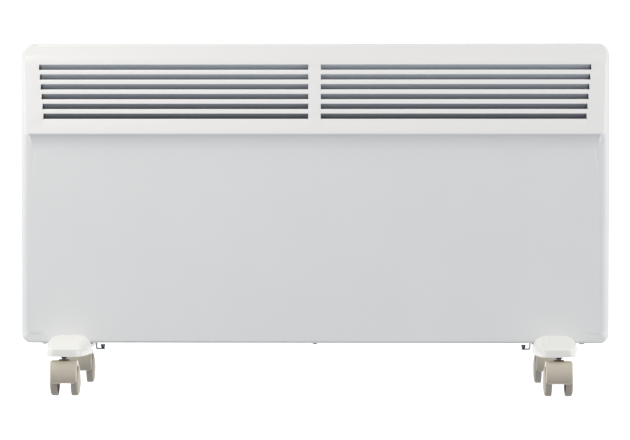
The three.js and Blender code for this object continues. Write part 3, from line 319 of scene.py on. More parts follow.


# %% [markdown]
# ## The casing's paint
#
# The panel and the rear case are thin steel with a baked polyester powder coat. Such paint
# flows out to a satin skin with a faint orange peel: low swells a few millimetres across. The
# real swells are only some hundredths of a millimetre high, so they never break the outline
# and only make a reflection waver. Their colour is an almost neutral cool white. The panel has
# a coat of its own, because a later step paints light into it on the louvre face.

# %% White powder-coated steel
orange_peel = speckle(4.0, 1.0)
white_paint, panel_paint_painted_light = [
    new_finish(name, ("#e2e3e3", "#e6e7e7"), (0.38, 0.46), orange_peel, (0.02, 0.35),
               clouds=speckle(90.0))
    for name in ("powder_coated_steel_white", "powder_coated_steel_panel_painted_light")
]
print("paint", white_paint.name, "and", panel_paint_painted_light.name)

# %% [markdown]
# The vanes behind the slots are folded from the same white sheet. They lie in shade behind the
# slots, and that shade is painted into their colour: a grey that is darker on the lower vanes.
# Two greys could be given to each vane by hand. It is simpler to let the painted shade run with
# the height, from the lowest to the highest row of slots.

# %% Vanes with painted shade
slot_rows = 6
slot_pitch = 13.8
first_slot_drop = 33.8
slot_middles = casing_height - first_slot_drop - slot_pitch * np.arange(slot_rows)
vane_heights = casing_bottom + slot_middles[[-1, 0]]
vane_painted_shade = new_finish(
    "vane_grey_painted_shade", ("#8e939b", "#dce2e9"), (0.5, 0.62), speckle(3.0), (0.02, 0.4),
    sheen=speckle(8.0), heights=vane_heights.tolist(),
)
print("vanes darken from", vane_heights.round(1)[1], "down to", vane_heights.round(1)[0])

# %% [markdown]
# ## The moulded plastics
#
# A moulded part has no paint, so its colour varies only by a hair, and its texture is that of
# the mould's steel: fine, even and shallow. The roughness tells the grades apart more than the
# colour does, so each finish starts from the typical roughness of its plastic.

# %% Plastics of the feet and casters
hood_low, hood_top = 19.0, 50.0
mould = speckle(0.9, 3.0)
# ABS from a polished mould: a warm white with soft, clear highlights.
white_abs = new_finish(
    "moulded_abs_warm_white", ("#edede8", "#f1f1ec"), (0.3, 0.38), speckle(1.2, 3.0),
    (0.012, 0.3), clouds=speckle(35.0),
)
# Nylon with a mineral filler: a waxy beige-grey. Its colour runs with height: painted shade
# darker towards the floor and painted light at the top.
beige_nylon_painted_shade = new_finish(
    "moulded_nylon_beige_painted_shade", ("#a79d90", "#e6ddc8"), (0.36, 0.46), mould, (0.015, 0.4),
    heights=(hood_low, hood_top),
)
# The thin edges of the hoods take a lighter colour, a painted highlight along each edge.
edge_painted_highlight = new_finish(
    "moulded_nylon_edge_painted_highlight", ("#d6ccb8", "#e6dcc8"), (0.26, 0.34), mould, (0.01, 0.3),
    clouds=speckle(6.0),
)
# The softer grade of the tread wears dull, and its scuffs run round the wheel.
grey_tread = new_finish(
    "rolling_tread_grey_nylon", ("#9c948b", "#b0a8a1"), (0.48, 0.7),
    speckle(1.5, 6.0, 0.65, (0.35, 1, 1)), (0.03, 0.5),
)
# The wheels' outer faces touch nothing and keep their moulded satin.
wheel_disc = new_finish(
    "moulded_nylon_wheel_face", ("#b1a896", "#bbb2a0"), (0.38, 0.48), mould, (0.015, 0.4),
    clouds=speckle(9.0),
)
# The stem's bush is nylon coloured through in brown, slightly mottled.
brown_nylon = new_finish(
    "moulded_nylon_brown", ("#664737", "#785746"), 0.5, speckle(0.6), (0.02, 0.4),
    clouds=speckle(1.5),
)
print("plastics of the feet and casters, hoods shaded from", hood_low, "to", hood_top, "mm")

# %% [markdown]
# The controls and the electrical parts sit at the right-hand end and inside. They are made of
# stiffer plastics and of ceramic, which are told apart by texture: a spark-eroded mould gives
# a fine matt grain, PBT comes out satin black, and fired steatite is chalky.

# %% Plastics and ceramic of the electrical parts
fascia_grey = new_finish(
    "textured_abs_grey", "#a3a6a8", (0.48, 0.66), speckle(0.7, 4.0, 0.6), (0.04, 0.6)
)
black_plastic = new_finish(
    "moulded_pbt_black", "#1d1e20", (0.36, 0.5), speckle(0.8, 3.0), (0.02, 0.4)
)
steatite = new_finish(
    "unglazed_steatite", ("#ded6c5", "#ece6d7"), 0.7, speckle(0.5, 4.0), (0.03, 0.5)
)
print("electrical parts", [m.name for m in (fascia_grey, black_plastic, steatite)])

# %% [markdown]
# ## The metals
#
# Bare metal takes nearly all its look from what it reflects, so its colour stays plain and the
# way it was made shows in the gloss. Rolling and turning leave long, fine lines, which a noise
# squashed along one or two axes draws.

# %% Steel, zinc strip and aluminium
# Screws and stem necks have a dark plating that is smooth but blotchy.
blotches = speckle(2.0, 4.0)
dark_steel = new_finish(
    "dark_plated_steel", ("#3f464d", "#59616a"), (0.26, 0.44), speckle(0.6), (0.01, 0.4),
    clouds=blotches, sheen=blotches, metallic=1.0,
)
# The latches are zinc-plated strip with lines along the rolling direction, dull grey.
zinc_strip = new_finish(
    "rolled_zinc_strip", ("#63686d", "#777c81"), (0.34, 0.5),
    speckle(0.8, 3.0, 0.5, (1, 0.1, 1)), (0.01, 0.4), metallic=1.0,
)
# Turned pins carry the fine rings of the lathe and shine the most.
turned_steel = new_finish(
    "turned_steel", "#9b9fa3", (0.22, 0.38), speckle(0.5, 2.0, 0.5, (1, 0.05, 0.05)),
    (0.01, 0.4), metallic=1.0,
)
# The element's fins are cast aluminium with the skin of a sand mould: pale and grainy.
cast_aluminium = new_finish(
    "cast_aluminium", "#c3c6c8", (0.42, 0.62), speckle(1.1, 5.0, 0.6), (0.05, 0.6), metallic=1.0
)
print("metals", [m.name for m in (dark_steel, zinc_strip, turned_steel, cast_aluminium)])

# %% [markdown]
# Brackets and inner sheets are hot-dip galvanised. The zinc freezes into crystals about nine
# millimetres wide, each of which reflects a little differently. A Voronoi pattern has just such
# cells: one random channel of each cell picks its shade, and another its gloss.

# %% Galvanised sheet
crystal_width = 9.0
zinc_sheet = new_finish("galvanised_steel_sheet", "#b4b9bc", 0.4, metallic=1.0)
tree, shader, place = parts_of(zinc_sheet)
values = {"Scale": 1 / (crystal_width * MM), "Randomness": 1.0}
crystals = add_node(tree, "ShaderNodeTexVoronoi", values, {"Vector": place})
draws = add_node(tree, "ShaderNodeSeparateColor", links={"Color": crystals.outputs["Color"]})
shades = {mix_first: linear("#a9aeb1"), mix_second: linear("#c1c6c9")}
mix = add_node(tree, "ShaderNodeMix", shades, {0: draws.outputs[0]}, data_type="RGBA")
tree.links.new(mix.outputs[mix_result], shader.inputs["Base Color"])
values = {"To Min": 0.3, "To Max": 0.52}
ranged = add_node(tree, "ShaderNodeMapRange", values, {"Value": draws.outputs[1]})
tree.links.new(ranged.outputs["Result"], shader.inputs["Roughness"])
print("galvanised sheet with", crystal_width, "mm crystals")

# %% [markdown]
# ## Wire insulation
#
# Mains wire is sleeved in soft PVC: satin, slightly uneven from the extruder, and coloured
# through. The earth wire is green with a yellow stripe, which a wave pattern draws as bands.

# %% Wires
sleeves = {
    "live_wire": ("pvc_sleeve_brown", "#54301e", "#633a26"),
    "neutral_wire": ("pvc_sleeve_blue", "#2a578f", "#3466a3"),
    "switched_wire": ("pvc_sleeve_black", "#1f1f20", "#2a2a2b"),
    "element_lead": ("pvc_sleeve_black_lead", "#1f1f20", "#2a2a2b"),
}
wire_finishes = {
    wire: new_finish(name, shades, 0.45, speckle(3.0), (0.03, 0.4))
    for wire, (name, *shades) in sleeves.items()
}
stripe_pitch, stripe_start = 14.0, 0.62
earth = new_finish("pvc_sleeve_green_yellow", "#6f9c2f", 0.45)
tree, shader, place = parts_of(earth)
values = {"Scale": 1 / (stripe_pitch * MM), "Distortion": 0.4}
bands = add_node(tree, "ShaderNodeTexWave", values, {"Vector": place}, bands_direction="DIAGONAL")
links = {0: bands.outputs["Fac"]}
stripes = add_node(tree, "ShaderNodeMath", {1: stripe_start}, links, operation="GREATER_THAN")
shades = {mix_first: linear("#4e8a2c"), mix_second: linear("#e2cf3a")}
mix = add_node(tree, "ShaderNodeMix", shades, {0: stripes.outputs[0]}, data_type="RGBA")
tree.links.new(mix.outputs[mix_result], shader.inputs["Base Color"])
wire_finishes["earth_wire"] = earth
print("materials", len(bpy.data.materials))

# %% [markdown]
# ## The front panel
#
# The panel is one pressed sheet. Its outline is a rounded rectangle, and from that outline the
# surface rolls inwards over a rounding until it meets the face. The face itself changes with
# height only: a flat main face, a hollow cove, a lip, and the louvre face that leans back.
# So every point follows from its place along the outline and its share of the rounding, and
# the two are the rows and columns of one grid. A box with cut holes and a bevel could not give
# the cove or the lip. The slots are simply left out of the face.

# %% The face by height, in millimetres
louvre_drop = 127.5
louvre_setback = 6.0
cove_height = 24.0
lip_fillet = 1.5
lip_cut = 0.45 * lip_fillet
lip_z = casing_height - louvre_drop
cove_z = lip_z - cove_height


def face_depth(z):
    """Depth of the face by height: a leaning plane above the lip, a quarter of an ellipse in the
    cove, and the flat main face below it."""
    lip_y = face_y - louvre_proud
    plane = lip_y + (louvre_proud + louvre_setback) * (z - lip_z) / louvre_drop
    share = np.clip((z - cove_z) / cove_height, 0, 1)
    cove = lip_y + louvre_proud * np.sqrt(1 - share**2)
    return np.where(z > lip_z, plane, np.where(z < cove_z, face_y, cove))


def lip_rounded(z):
    """The face's depth with the lip's edge taken off by a small fillet, a square by height."""
    near = np.clip(1 - np.abs(z - lip_z) / lip_fillet, 0, 1)
    return face_depth(z) + lip_cut * near**2


print("lip at", round(casing_bottom + lip_z, 1), "cove from", round(casing_bottom + cove_z, 1))

# %% [markdown]
# The slots are measured from the photograph. The outer ends of the rows step inwards from the
# top row to the lowest one, because they follow the edge of the louvre face, which leans
# inwards towards the lip. A straight line through the rows gives them all.

# %% The slots
slot_height = 7.8
post_half = 8.75
first_slot_end = 387.6
last_slot_end = 380.8
slot_end_lean = 0.6


def slot_end(z):
    """Distance of the slots' outer ends from the middle. Each slot ends farther in than the one
    above it, and its lower edge reaches a little farther out than its upper edge."""
    row = np.clip(np.round((slot_middles[0] - z) / slot_pitch), 0, slot_rows - 1)
    middle = first_slot_end + (last_slot_end - first_slot_end) * row / (slot_rows - 1)
    below = slot_middles[0] - row * slot_pitch - z
    return middle + slot_end_lean * np.clip(below / slot_height, -0.5, 0.5)


print("slot ends", slot_end(slot_middles).round(1))

# %% [markdown]
# The outline needs a row of points wherever the face changes: at the edges of the slots, close
# together over the lip, along the cove, and in a few steps down the flat side. Only its right
# half is worked out, and the left one is its mirror image.

# %% The outline
top_corner = 18.0
bottom_corner = 14.0
lip_corner_height = 8.0
lip_rows = [lip_corner_height, 6.5, 5, 3.6, 2.4, lip_fillet, lip_fillet * 0.4, 0, -0.2]
flat_rows = np.linspace(262, 20, 12)


def panel_outline():
    """Right half of the outline from top to bottom: each point's place and outward direction.
    The corners are quarter circles, and the side between them is upright."""
    turn = np.linspace(math.pi / 2, 0, 17)[:-1]
    top_normal = np.stack([np.cos(turn), np.sin(turn)], -1)
    top = top_normal * top_corner + [half_width - top_corner, casing_height - top_corner]
    edges = np.concatenate([slot_middles + slot_height / 2, slot_middles - slot_height / 2])
    cove = cove_z + cove_height * np.cos(np.linspace(0, math.pi / 2, 14)[1:])
    start = [casing_height - top_corner]
    side = np.concatenate([start, edges, lip_z + np.array(lip_rows), cove, flat_rows])
    side = np.sort(side)[::-1]
    side = np.stack([np.full(len(side), half_width), side], -1)
    turn = np.linspace(0, -math.pi / 2, 13)
    low_normal = np.stack([np.cos(turn), np.sin(turn)], -1)
    low = low_normal * bottom_corner + [half_width - bottom_corner, bottom_corner]
    place = np.concatenate([top, side, low])
    normal = np.concatenate([top_normal, np.tile([1.0, 0.0], (len(side), 1)), low_normal])
    return place, normal


print("outline", len(panel_outline()[0]), "points on the right half")

# %% [markdown]
# The rounding is not the same all round. Down the sides it is a full quarter circle. Along the
# top and bottom edges it is small. Beside the louvres it stops early, where the louvre face
# cuts it off, and a steep wall climbs from there to the face.

# %% How far the rounding reaches
side_round = 13.0
bottom_round = 2.5
top_reach = 2.0
louvre_top_inset = 5.3
louvre_lip_inset = 9.6
lip_corner_width = 3.4
wall_run, cove_run, flat_run = 0.8, 9.0, 0.2
cove_fade = 60.0


def rounding_of(place, normal):
    """Radius of the edge rounding, its reach inwards, the run of the wall behind it, and how far
    down the cove the point lies. Beside the louvres the reach grows towards the lip, whose
    corner is a quarter of an ellipse. Along the top and bottom, reach and radius shrink."""
    z = place[:, 1]
    drop = np.clip((casing_height - z) / louvre_drop, 0, 1)
    near = np.clip(1 - (z - lip_z) / lip_corner_height, 0, 1)
    corner = lip_corner_width * (1 - np.sqrt(1 - near**2))
    reach = louvre_top_inset + (louvre_lip_inset - louvre_top_inset) * drop + corner
    upward = np.clip(normal[:, 1], 0, 1)
    downward = np.degrees(np.arcsin(np.clip(-normal[:, 1], 0, 1))) / 90
    top = upward > 0
    reach = np.where(top, top_reach + (louvre_top_inset - top_reach) * (1 - upward), reach)
    low_reach = side_round + (bottom_round - side_round) * downward
    reach = np.where(downward > 0, low_reach, reach)
    radius = np.where(top, side_round * reach / louvre_top_inset, side_round)
    radius = np.where(downward > 0, reach, radius)
    below = np.clip((lip_z - z) / cove_height, 0, 1)
    fade = np.clip(1 - (cove_z - z) / cove_fade, 0, 1)
    run = wall_run + (cove_run - wall_run) * below * fade
    run = np.where(z < cove_z, cove_run * fade + flat_run, run)
    return radius, np.minimum(reach, radius), run, below


# %% [markdown]
# The rim is one grid. Every column belongs to one point of the outline and runs from the rear
# edge of the folded side, round the bend, and up the wall to the face. Because the rounding and
# the wall share their columns, no seam can open between them.


# %% The rim as one grid
def panel_rings(steps=10, wall_steps=6):
    """Grid of the panel's right rim: each column goes from the rear edge over the rounding, whose
    plane leans back with the louvre face, and up a steep wall to the face. In the cove the wall
    melts into a long soft slope, a smooth step."""
    place, normal = panel_outline()
    radius, reach, run, below = rounding_of(place, normal)
    lean = np.clip((place[:, 1] - lip_z) / louvre_drop, 0, 1)
    base = face_y + louvre_setback * lean
    turned = np.arccos(1 - reach / radius) * np.linspace(0, 1, steps + 1)[:, None]
    inward = radius * (1 - np.cos(turned))
    y = base + radius * (1 - np.sin(turned))
    share = np.linspace(0, 1, wall_steps + 1)[1:, None]
    steep = 1 - (1 - share) ** 3
    soft = share**2 * (3 - 2 * share)
    climb = steep + (soft - steep) * np.clip(below * 4, 0, 1)
    wall_y = y[-1] + (lip_rounded(place[:, 1] - normal[:, 1] * (reach + run)) - y[-1]) * climb
    inward = np.concatenate([inward[:1], inward, reach + run * share])
    y = np.concatenate([np.full((1, len(place)), panel_rear_y), y, wall_y])
    x = place[:, 0] - normal[:, 0] * inward
    return np.stack([x, y, place[:, 1] - normal[:, 1] * inward], -1)


rings = panel_rings()
print("panel rim", rings.shape[:2], "points on the right half")

# %% [markdown]
# The press leaves the upper edge of the sheet under each slot rolled back a little, which
# catches light as a fine line. Cutting the slots out of a finished face would lose that, so the
# face is built from strips instead, and each strip under a slot gets a rolled upper edge.

# %% The face, without its slots
roll_height, roll_back, roll_end = 1.3, 1.1, 1.5
rim_gap = 1.0
row_margin = 0.1


def rolled_strip(strip):
    """The sheet under a slot, between its two ends. Its upper edge is rolled back by roll_back
    over the height roll_height, as a curve that steepens, except at the ends, which stay flat."""
    step = np.sign(strip[0, 1, 0] - strip[0, 0, 0]) * np.array([roll_end, 0, 0])
    wide = np.stack([strip[:, 0], strip[:, 0] + step, strip[:, 1] - step, strip[:, 1]], 1)
    down = np.linspace(0, 1, 4)[:, None]
    rolled = np.repeat(wide[:1], 4, 0)
    z = rolled[..., 2]
    lean = face_depth(z - down * roll_height) - face_depth(z)
    rolled[..., 1] += lean + roll_back * (1 - down) ** 2 * [0, 1, 1, 0]
    rolled[..., 2] = z - down * roll_height
    return np.concatenate([rolled, wide[1:]])


def face_strips(edge):
    """The face between the right and left ends of its rows. Rows inside a slot leave out the
    columns between the post and the slot's end."""
    z = edge[:, 2]
    ends = np.minimum(slot_end(z), edge[:, 0] - rim_gap)
    columns = np.stack([-edge[:, 0], -ends, np.full(len(z), -post_half)], -1)
    columns = np.concatenate([columns, -columns[:, ::-1]], -1)
    points = np.stack(np.broadcast_arrays(columns, edge[:, 1:2], z[:, None]), -1)
    middle = (z[:-1] + z[1:]) / 2
    holed = np.abs(middle[:, None] - slot_middles).min(-1) < slot_height / 2 - row_margin
    strips = [points[:, 0:2], points[:, 2:4], points[:, 4:6]]
    solid_runs = np.flatnonzero(np.diff(np.concatenate([[True], holed, [True]]).astype(int)))
    for start, stop in zip(solid_runs[::2], solid_runs[1::2]):
        between = [points[start : stop + 1, 1:3], points[start : stop + 1, 3:5]]
        strips += [rolled_strip(s) for s in between] if start else between
    return strips


# %% [markdown]
# Rim, mirror image and strips meet point for point, so welding them closes the skin. It stays
# open at the back, as the real sheet does.

# %% The whole skin
mirror = np.array([-1.0, 1.0, 1.0])
lift = np.array([0, 0, casing_bottom])
left_rings = (rings * mirror)[:, ::-1]
top_strip = np.stack([left_rings[:, -1], rings[:, 0]], 1)
low_strip = np.stack([rings[:, -1], left_rings[:, 0]], 1)
skin = [rings, left_rings, top_strip, low_strip] + [s[::-1] for s in face_strips(rings[-1])]
skin = [grid + lift for grid in skin]
panel_mesh = mesh_of("front_panel_skin", skin, closed=False, sharp=20, turn=True)
print("panel skin", len(panel_mesh.polygons), "faces")

# %% [markdown]
# The panel has the casing's powder coat, with painted light added. Its louvre face stands proud
# of the rest and leans back towards the light from above, so its colour is painted a little
# lighter and warmer than the main face: painted light. The tone changes at the lip, where the
# fold hides the step, and at the sides where the face rises from the leaning plane of the
# rounded edge.

# %% The panel's coat, with painted light on the louvre face
lip_blend = 1.0
strip_blend_from, strip_blend_to = 2.0, 0.6
tree, shader, place = parts_of(panel_paint_painted_light)
coat = shader.inputs["Base Color"].links[0].from_socket
axes = add_node(tree, "ShaderNodeSeparateXYZ", links={"Vector": place}).outputs
lip_height = casing_bottom + lip_z
values = {"From Min": (lip_height - lip_blend) * MM, "From Max": lip_height * MM}
above = add_node(tree, "ShaderNodeMapRange", values, {"Value": axes["Z"]}).outputs["Result"]
lean = louvre_setback / louvre_drop
links = {0: axes["Z"], 2: axes["Y"]}
depth = add_node(tree, "ShaderNodeMath", {1: -lean}, links, operation="MULTIPLY_ADD").outputs[0]
strip_plane = face_y - lean * lip_height
values = {
    "From Min": (strip_plane + strip_blend_from) * MM,
    "From Max": (strip_plane + strip_blend_to) * MM,
}
fronted = add_node(tree, "ShaderNodeMapRange", values, {"Value": depth}).outputs["Result"]
painted_light_share = add_node(tree, "ShaderNodeMath", links={0: above, 1: fronted}, operation="MULTIPLY")
links = {0: painted_light_share.outputs[0], mix_first: coat}
# The lighter, warmer shade above the lip and in front of the rounded edge is painted light.
shades = {mix_second: linear("#f2f1ef")}
tone = add_node(tree, "ShaderNodeMix", shades, links, data_type="RGBA")
tree.links.new(tone.outputs[mix_result], shader.inputs["Base Color"])
# Above this height the panel's colour carries painted light.
print("thicker coat above", round(lip_height, 1), "mm")

# %% [markdown]
# The skin gets its thickness from a Solidify modifier that grows inwards, so the outer surface
# stays where it was worked out. A tiny bevel then rounds the cut edges of the slots, which is
# what catches the light along each slot.

# %% Thickness and edges
sheet = 0.7
panel = dress(panel_mesh, "front_panel_skin", "front_panel", [panel_paint_painted_light])
wall = panel.modifiers.new("sheet", "SOLIDIFY")
wall.thickness = sheet * MM
wall.offset = -1
rounded_edges(panel, 0.22, angle=50)
print("panel sheet", sheet, "mm")

# %% [markdown]
# ## The vanes
#
# Behind each slot a sloping vane hides the inside and throws the warm air forwards. It is
# folded in from the slot's upper edge and stops just short of the slot's outer end, where a
# dark gap shows. Each vane is a thin slanted slab whose front edge touches the sheet.

# %% Vanes behind the slots
vane_reach = 9.5
vane_thickness = 0.9
vane_overlap = 1.0
vane_end_gap = 1.5


def vane_grids(row, side):
    """Closed slab: four corner lines in depth and height, carried along X, with two end caps."""
    low = slot_middles[row] - slot_height / 2 - vane_overlap
    high = low + slot_height + 2 * vane_overlap
    front = face_depth(high) + sheet / 2
    rear = front + vane_reach
    under = [[front, high], [rear, low]]
    over = [[rear, low + vane_thickness], [front, high + vane_thickness]]
    section = np.array([*under, *over, under[0]])
    ends = np.array([post_half, slot_end(slot_middles[row]) - vane_end_gap]) * side
    walls = np.stack([np.column_stack([np.full(5, x), section]) for x in ends])
    caps = [w[[0, 1, 3, 2]].reshape(2, 2, 3) for w in walls]
    return [walls, *caps]


slabs = [g + lift for row in range(slot_rows) for side in (-1, 1) for g in vane_grids(row, side)]
# The vanes' grey, darker on the lower rows, is painted shade.
vanes = dress(mesh_of("louvre_vanes", slabs), "louvre_vanes", "front_panel", [vane_painted_shade])
print("vanes", len(vanes.data.polygons), "faces")

# %% [markdown]
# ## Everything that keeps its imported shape
#
# The rear case, the brackets and the electrical parts are boxes and folded sheets whose
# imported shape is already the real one. They need rounded edges and their finish, and no more.
# Wires keep their round section, so they get no bevel.

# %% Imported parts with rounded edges
kept_shapes = (
    (white_paint, 0.22, "rear_case"),
    (zinc_sheet, 0.15, "heat_shield air_guide control_partition"),
    (zinc_strip, 0.15, "left_latch right_latch"),
    (zinc_sheet, 0.3, "element_bracket_left"),
    (steatite, 0.4, "element_bush_left"),
    (zinc_sheet, 0.3, "element_bracket_right"),
    (steatite, 0.4, "element_bush_right"),
    (cast_aluminium, 0.5, "element_body"),
    (fascia_grey, 0.5, "control_fascia"),
    (black_plastic, 0.3, "thermostat_body high_switch_body low_switch_body"),
    (black_plastic, 0.3, "cord_gland thermal_cutout"),
    (white_abs, 0.35, "thermostat_knob high_switch_rocker low_switch_rocker terminal_block"),
    (turned_steel, 0.2, "element_rod thermostat_shaft"),
)
for finish, width, names in kept_shapes:
    for node in names.split():
        trimmed(node, finish, width)
for node, finish in wire_finishes.items():
    trimmed(node, finish, 0)
kept = [name for *_, names in kept_shapes for name in names.split()]
print("kept shapes", len(kept) + len(wire_finishes))

# %% [markdown]
# ## Turned shapes
#
# Wheels, stems, screws and axles are round. A Screw modifier could turn a drawn edge into such
# a shape. With numbers it is as short: a lathe profile, given as distances from the axis and
# places along it, is carried round the axis in many steps.


# %% The lathe
def lathe(profile, sides=64, axis="z"):
    """Grid of a profile turned round an axis: each row is one profile point, and each column one
    angle of the turn."""
    radius, along = np.array(profile, float).T
    turn = np.linspace(0, 2 * math.pi, sides + 1)
    across = radius[:, None] * np.cos(turn)
    up = radius[:, None] * np.sin(turn)
    length = np.broadcast_to(along[:, None], across.shape)
    order = {"z": (across, up, length), "x": (length, across, up)}[axis]
    return np.stack(order, -1)


def arc(centre, radius, start, stop, steps):
    """Points on a circle between two angles in degrees."""
    turn = np.radians(np.linspace(start, stop, steps + 1))
    return np.stack([centre[0] + radius * np.cos(turn), centre[1] + radius * np.sin(turn)], -1)


# %% [markdown]
# ## The feet
#
# Each foot is one moulding. Seen from above it widens from a rounded nose to a shoulder under
# the casing's front and narrows again. Seen from the side it rises to a hump in front of the
# casing and another behind it, and between them a flat saddle carries the casing. A loft does
# both at once: at every step along the foot, a cross-section of an upright wall, a narrow
# ledge and a dome is scaled to the width and height at that place.

# %% The foot's plan and side view, in millimetres
foot_half = 117.0
hump = 48.3
hump_wall = 3.0
nose_round = 10.0
nose_half, shoulder_half, saddle_half = 22.0, 32.2, 24.0
saddle_taper = 14.0
nose_height, hump_height, saddle_height = 9.4, 24.8, 13.4
crown_power = 0.85


def foot_width(y):
    """Half width along the foot: a sine to the shoulder, straight lines to the saddle and to the
    rear, and a quarter circle at each end."""
    near = np.clip(nose_round - (foot_half - np.abs(y)), 0, nose_round)
    end = nose_round - np.sqrt(nose_round**2 - near**2)
    out = np.clip((y + foot_half) / (foot_half - hump), 0, 1)
    front = nose_half + (shoulder_half - nose_half) * np.sin(out * math.pi / 2)
    back = np.clip((y + hump) / saddle_taper, 0, 1)
    taper = shoulder_half + (saddle_half - shoulder_half) * back
    rear = np.clip((y + hump - saddle_taper) / hump, 0, 1)
    after = saddle_half + (nose_half - saddle_half) * rear
    return np.where(y < -hump, front, np.where(y < saddle_taper - hump, taper, after)) - end


def foot_height(y):
    """Height of the crown: level over the hump's wall, then a falling cosine to the nose."""
    out = np.clip((np.abs(y) - hump - hump_wall) / (foot_half - hump - hump_wall), 0, 1)
    drop = 1 - np.cos(out * math.pi / 2) ** crown_power
    return hump_height + (nose_height - hump_height) * drop


print("foot", 2 * foot_half, "long,", 2 * float(foot_width(np.array(-hump))), "wide")

# %% [markdown]
# The cross-section starts with the upright wall, whose upper edge is rounded. A ledge leads
# inwards to the dome, a quarter of an ellipse that ends in a flat crown. Wall, ledge and crown
# change from the nose to the hump in step with the height, so the dome grows out of the foot.

# %% The foot's cross-sections
nose_wall, hump_foot_wall = 7.2, 9.5
nose_ledge, hump_ledge = 0.5, 1.2
nose_flat, hump_flat = 17.5, 12.6
edge_inset, edge_drop = np.array([0, 0, 0.3, 1.1]), np.array([0.9, 0.25, 0])
ledge_rise = 0.3
dome_start = math.radians(10)


def foot_sections(y, saddle):
    """Rows of cross-sections: wall, ledge, and an elliptic dome up to a flat crown. On the saddle
    they are cut off level."""
    half = foot_width(y)[:, None]
    top = foot_height(y)[:, None]
    rise = (top - nose_height) / (hump_height - nose_height)
    wall = nose_wall + (hump_foot_wall - nose_wall) * rise
    dome_half = half - (nose_ledge + (hump_ledge - nose_ledge) * rise)
    flat = np.minimum(dome_half - 1, nose_flat + (hump_flat - nose_flat) * rise)
    turn = np.linspace(dome_start, math.pi / 2, 13)
    x = flat + (dome_half - flat) * np.cos(turn) / math.cos(dome_start)
    share = (np.sin(turn) - math.sin(dome_start)) / (1 - math.sin(dome_start))
    foot = wall + ledge_rise
    z = foot + (top - foot) * share
    x = np.concatenate([half - edge_inset, x], -1)
    z = np.concatenate([0 * half, wall - edge_drop, z], -1)
    z = np.where(saddle[:, None], np.minimum(z, saddle_height), z)
    right = np.stack([x, np.broadcast_to(y[:, None], x.shape), z], -1)
    return np.concatenate([right * mirror, right[:, ::-1]], 1)


def foot_grids():
    """The foot's upper skin, its two end faces and its underside."""
    ends = foot_half - nose_round * (1 - np.cos(np.linspace(0, math.pi / 2, 13)))
    slope = np.linspace(foot_half - nose_round, hump + hump_wall, 22)[1:]
    outside = -np.concatenate([ends, slope, [hump]])
    taper = np.linspace(-hump, saddle_taper - hump, 8)[1:]
    inside = np.concatenate([[-hump], taper, [0, 30, hump]])
    y = np.concatenate([outside, inside, -outside[::-1]])
    saddle = np.zeros(len(y), bool)
    saddle[len(outside) : len(outside) + len(inside)] = True
    skin = foot_sections(y, saddle)
    count = skin.shape[1]
    pairs = np.stack([skin[:, : count // 2], skin[:, ::-1][:, : count // 2]], 2)
    return [skin, pairs[:, 0], pairs[0], pairs[-1]]


foot_shape = mesh_of("foot", foot_grids(), sharp=28)
print("foot", len(foot_shape.polygons), "faces")

# %% [markdown]
# The underside has two square pockets that save material, two sockets for the casters' stems
# and a sunk hole for the screw. Cutting them with a Boolean keeps the loft above untouched.


# %% Carving
def block_grid(low, high):
    """A box as a closed tube of four walls and two caps."""
    ring = np.array([[low[0], low[1]], [high[0], low[1]], [high[0], high[1]], [low[0], high[1]]])
    loop = np.concatenate([ring, ring[:1]])
    rows = [np.column_stack([loop, np.full(5, z)]) for z in (low[2], high[2])]
    caps = [r[[0, 1, 3, 2]].reshape(2, 2, 3) for r in rows]
    return [np.stack(rows), *caps]


def carve(mesh, cutter_grids):
    """A new mesh: the given one with each cutter, a list of closed grids, taken out of it."""
    target = bpy.data.objects.new("carved", mesh)
    bpy.context.scene.collection.objects.link(target)
    for grids in cutter_grids:
        cutter = bpy.data.objects.new("cutter", mesh_of("cutter", grids))
        bpy.context.scene.collection.objects.link(cutter)
        cut = target.modifiers.new("cut", "BOOLEAN")
        cut.operation = "DIFFERENCE"
        cut.solver = "EXACT"
        cut.object = cutter
        bpy.context.view_layer.update()
        depsgraph = bpy.context.evaluated_depsgraph_get()
        shaped = bpy.data.meshes.new_from_object(target.evaluated_get(depsgraph))
        target.modifiers.clear()
        target.data = shaped
        bpy.data.objects.remove(cutter)
    result = target.data
    bpy.data.objects.remove(target)
    soften(result, 28)
    return result


# %% Pockets and holes under the feet
pocket_half_x, pocket_half_y, pocket_depth, pocket_offset = 15, 19, 9, 45
stem_offset = 95.0
screw_forward = -16.0
# Profiles of the holes: distance from the axis and height above the underside.
stem_hole = [[0, -1], [4.35, -1], [4.35, 14], [0, 14]]
screw_hole = [[0, -1], [5.4, -1], [5.4, 6.7], [2.9, 6.7], [2.9, 15], [0, 15]]
for side in ("left", "right"):
    low, high = box_mm(side + "_foot")
    centre = [(low[0] + high[0]) / 2, (low[1] + high[1]) / 2, low[2]]
    stem_low, stem_high = box_mm(f"front_{side}_stem")
    stem_x = (stem_low[0] + stem_high[0]) / 2 - centre[0]
    cutters = []
    for middle in (-pocket_offset, pocket_offset):
        start = (-pocket_half_x, middle - pocket_half_y, -1)
        cutters += [block_grid(start, (pocket_half_x, middle + pocket_half_y, pocket_depth))]
    cutters += [[lathe(stem_hole, 32) + [stem_x, end * stem_offset, 0]] for end in (-1, 1)]
    cutters += [[lathe(screw_hole, 32) + [0, screw_forward, 0]]]
    foot_mesh = carve(foot_shape, cutters)
    foot = dress(moved(foot_mesh, centre), side + "_foot_moulding", side + "_foot", [white_abs])
    rounded_edges(foot, 0.4, angle=45)
print("foot with pockets", len(foot_mesh.polygons), "faces")

# %% [markdown]
# ## The casters
#
# A twin-wheel caster has a hood that arches over two wheels. Its front is a tall, slightly
# bulging shield with rounded lower corners, its top is flat round the stem, and behind the
# stem it follows the wheels. It could be carved from a block, but its thin wall would then be
# hard to keep even. Here it is one closed loop, a thin rounded rectangle, carried along that
# side profile, and its inner side follows the circle of the wheels.

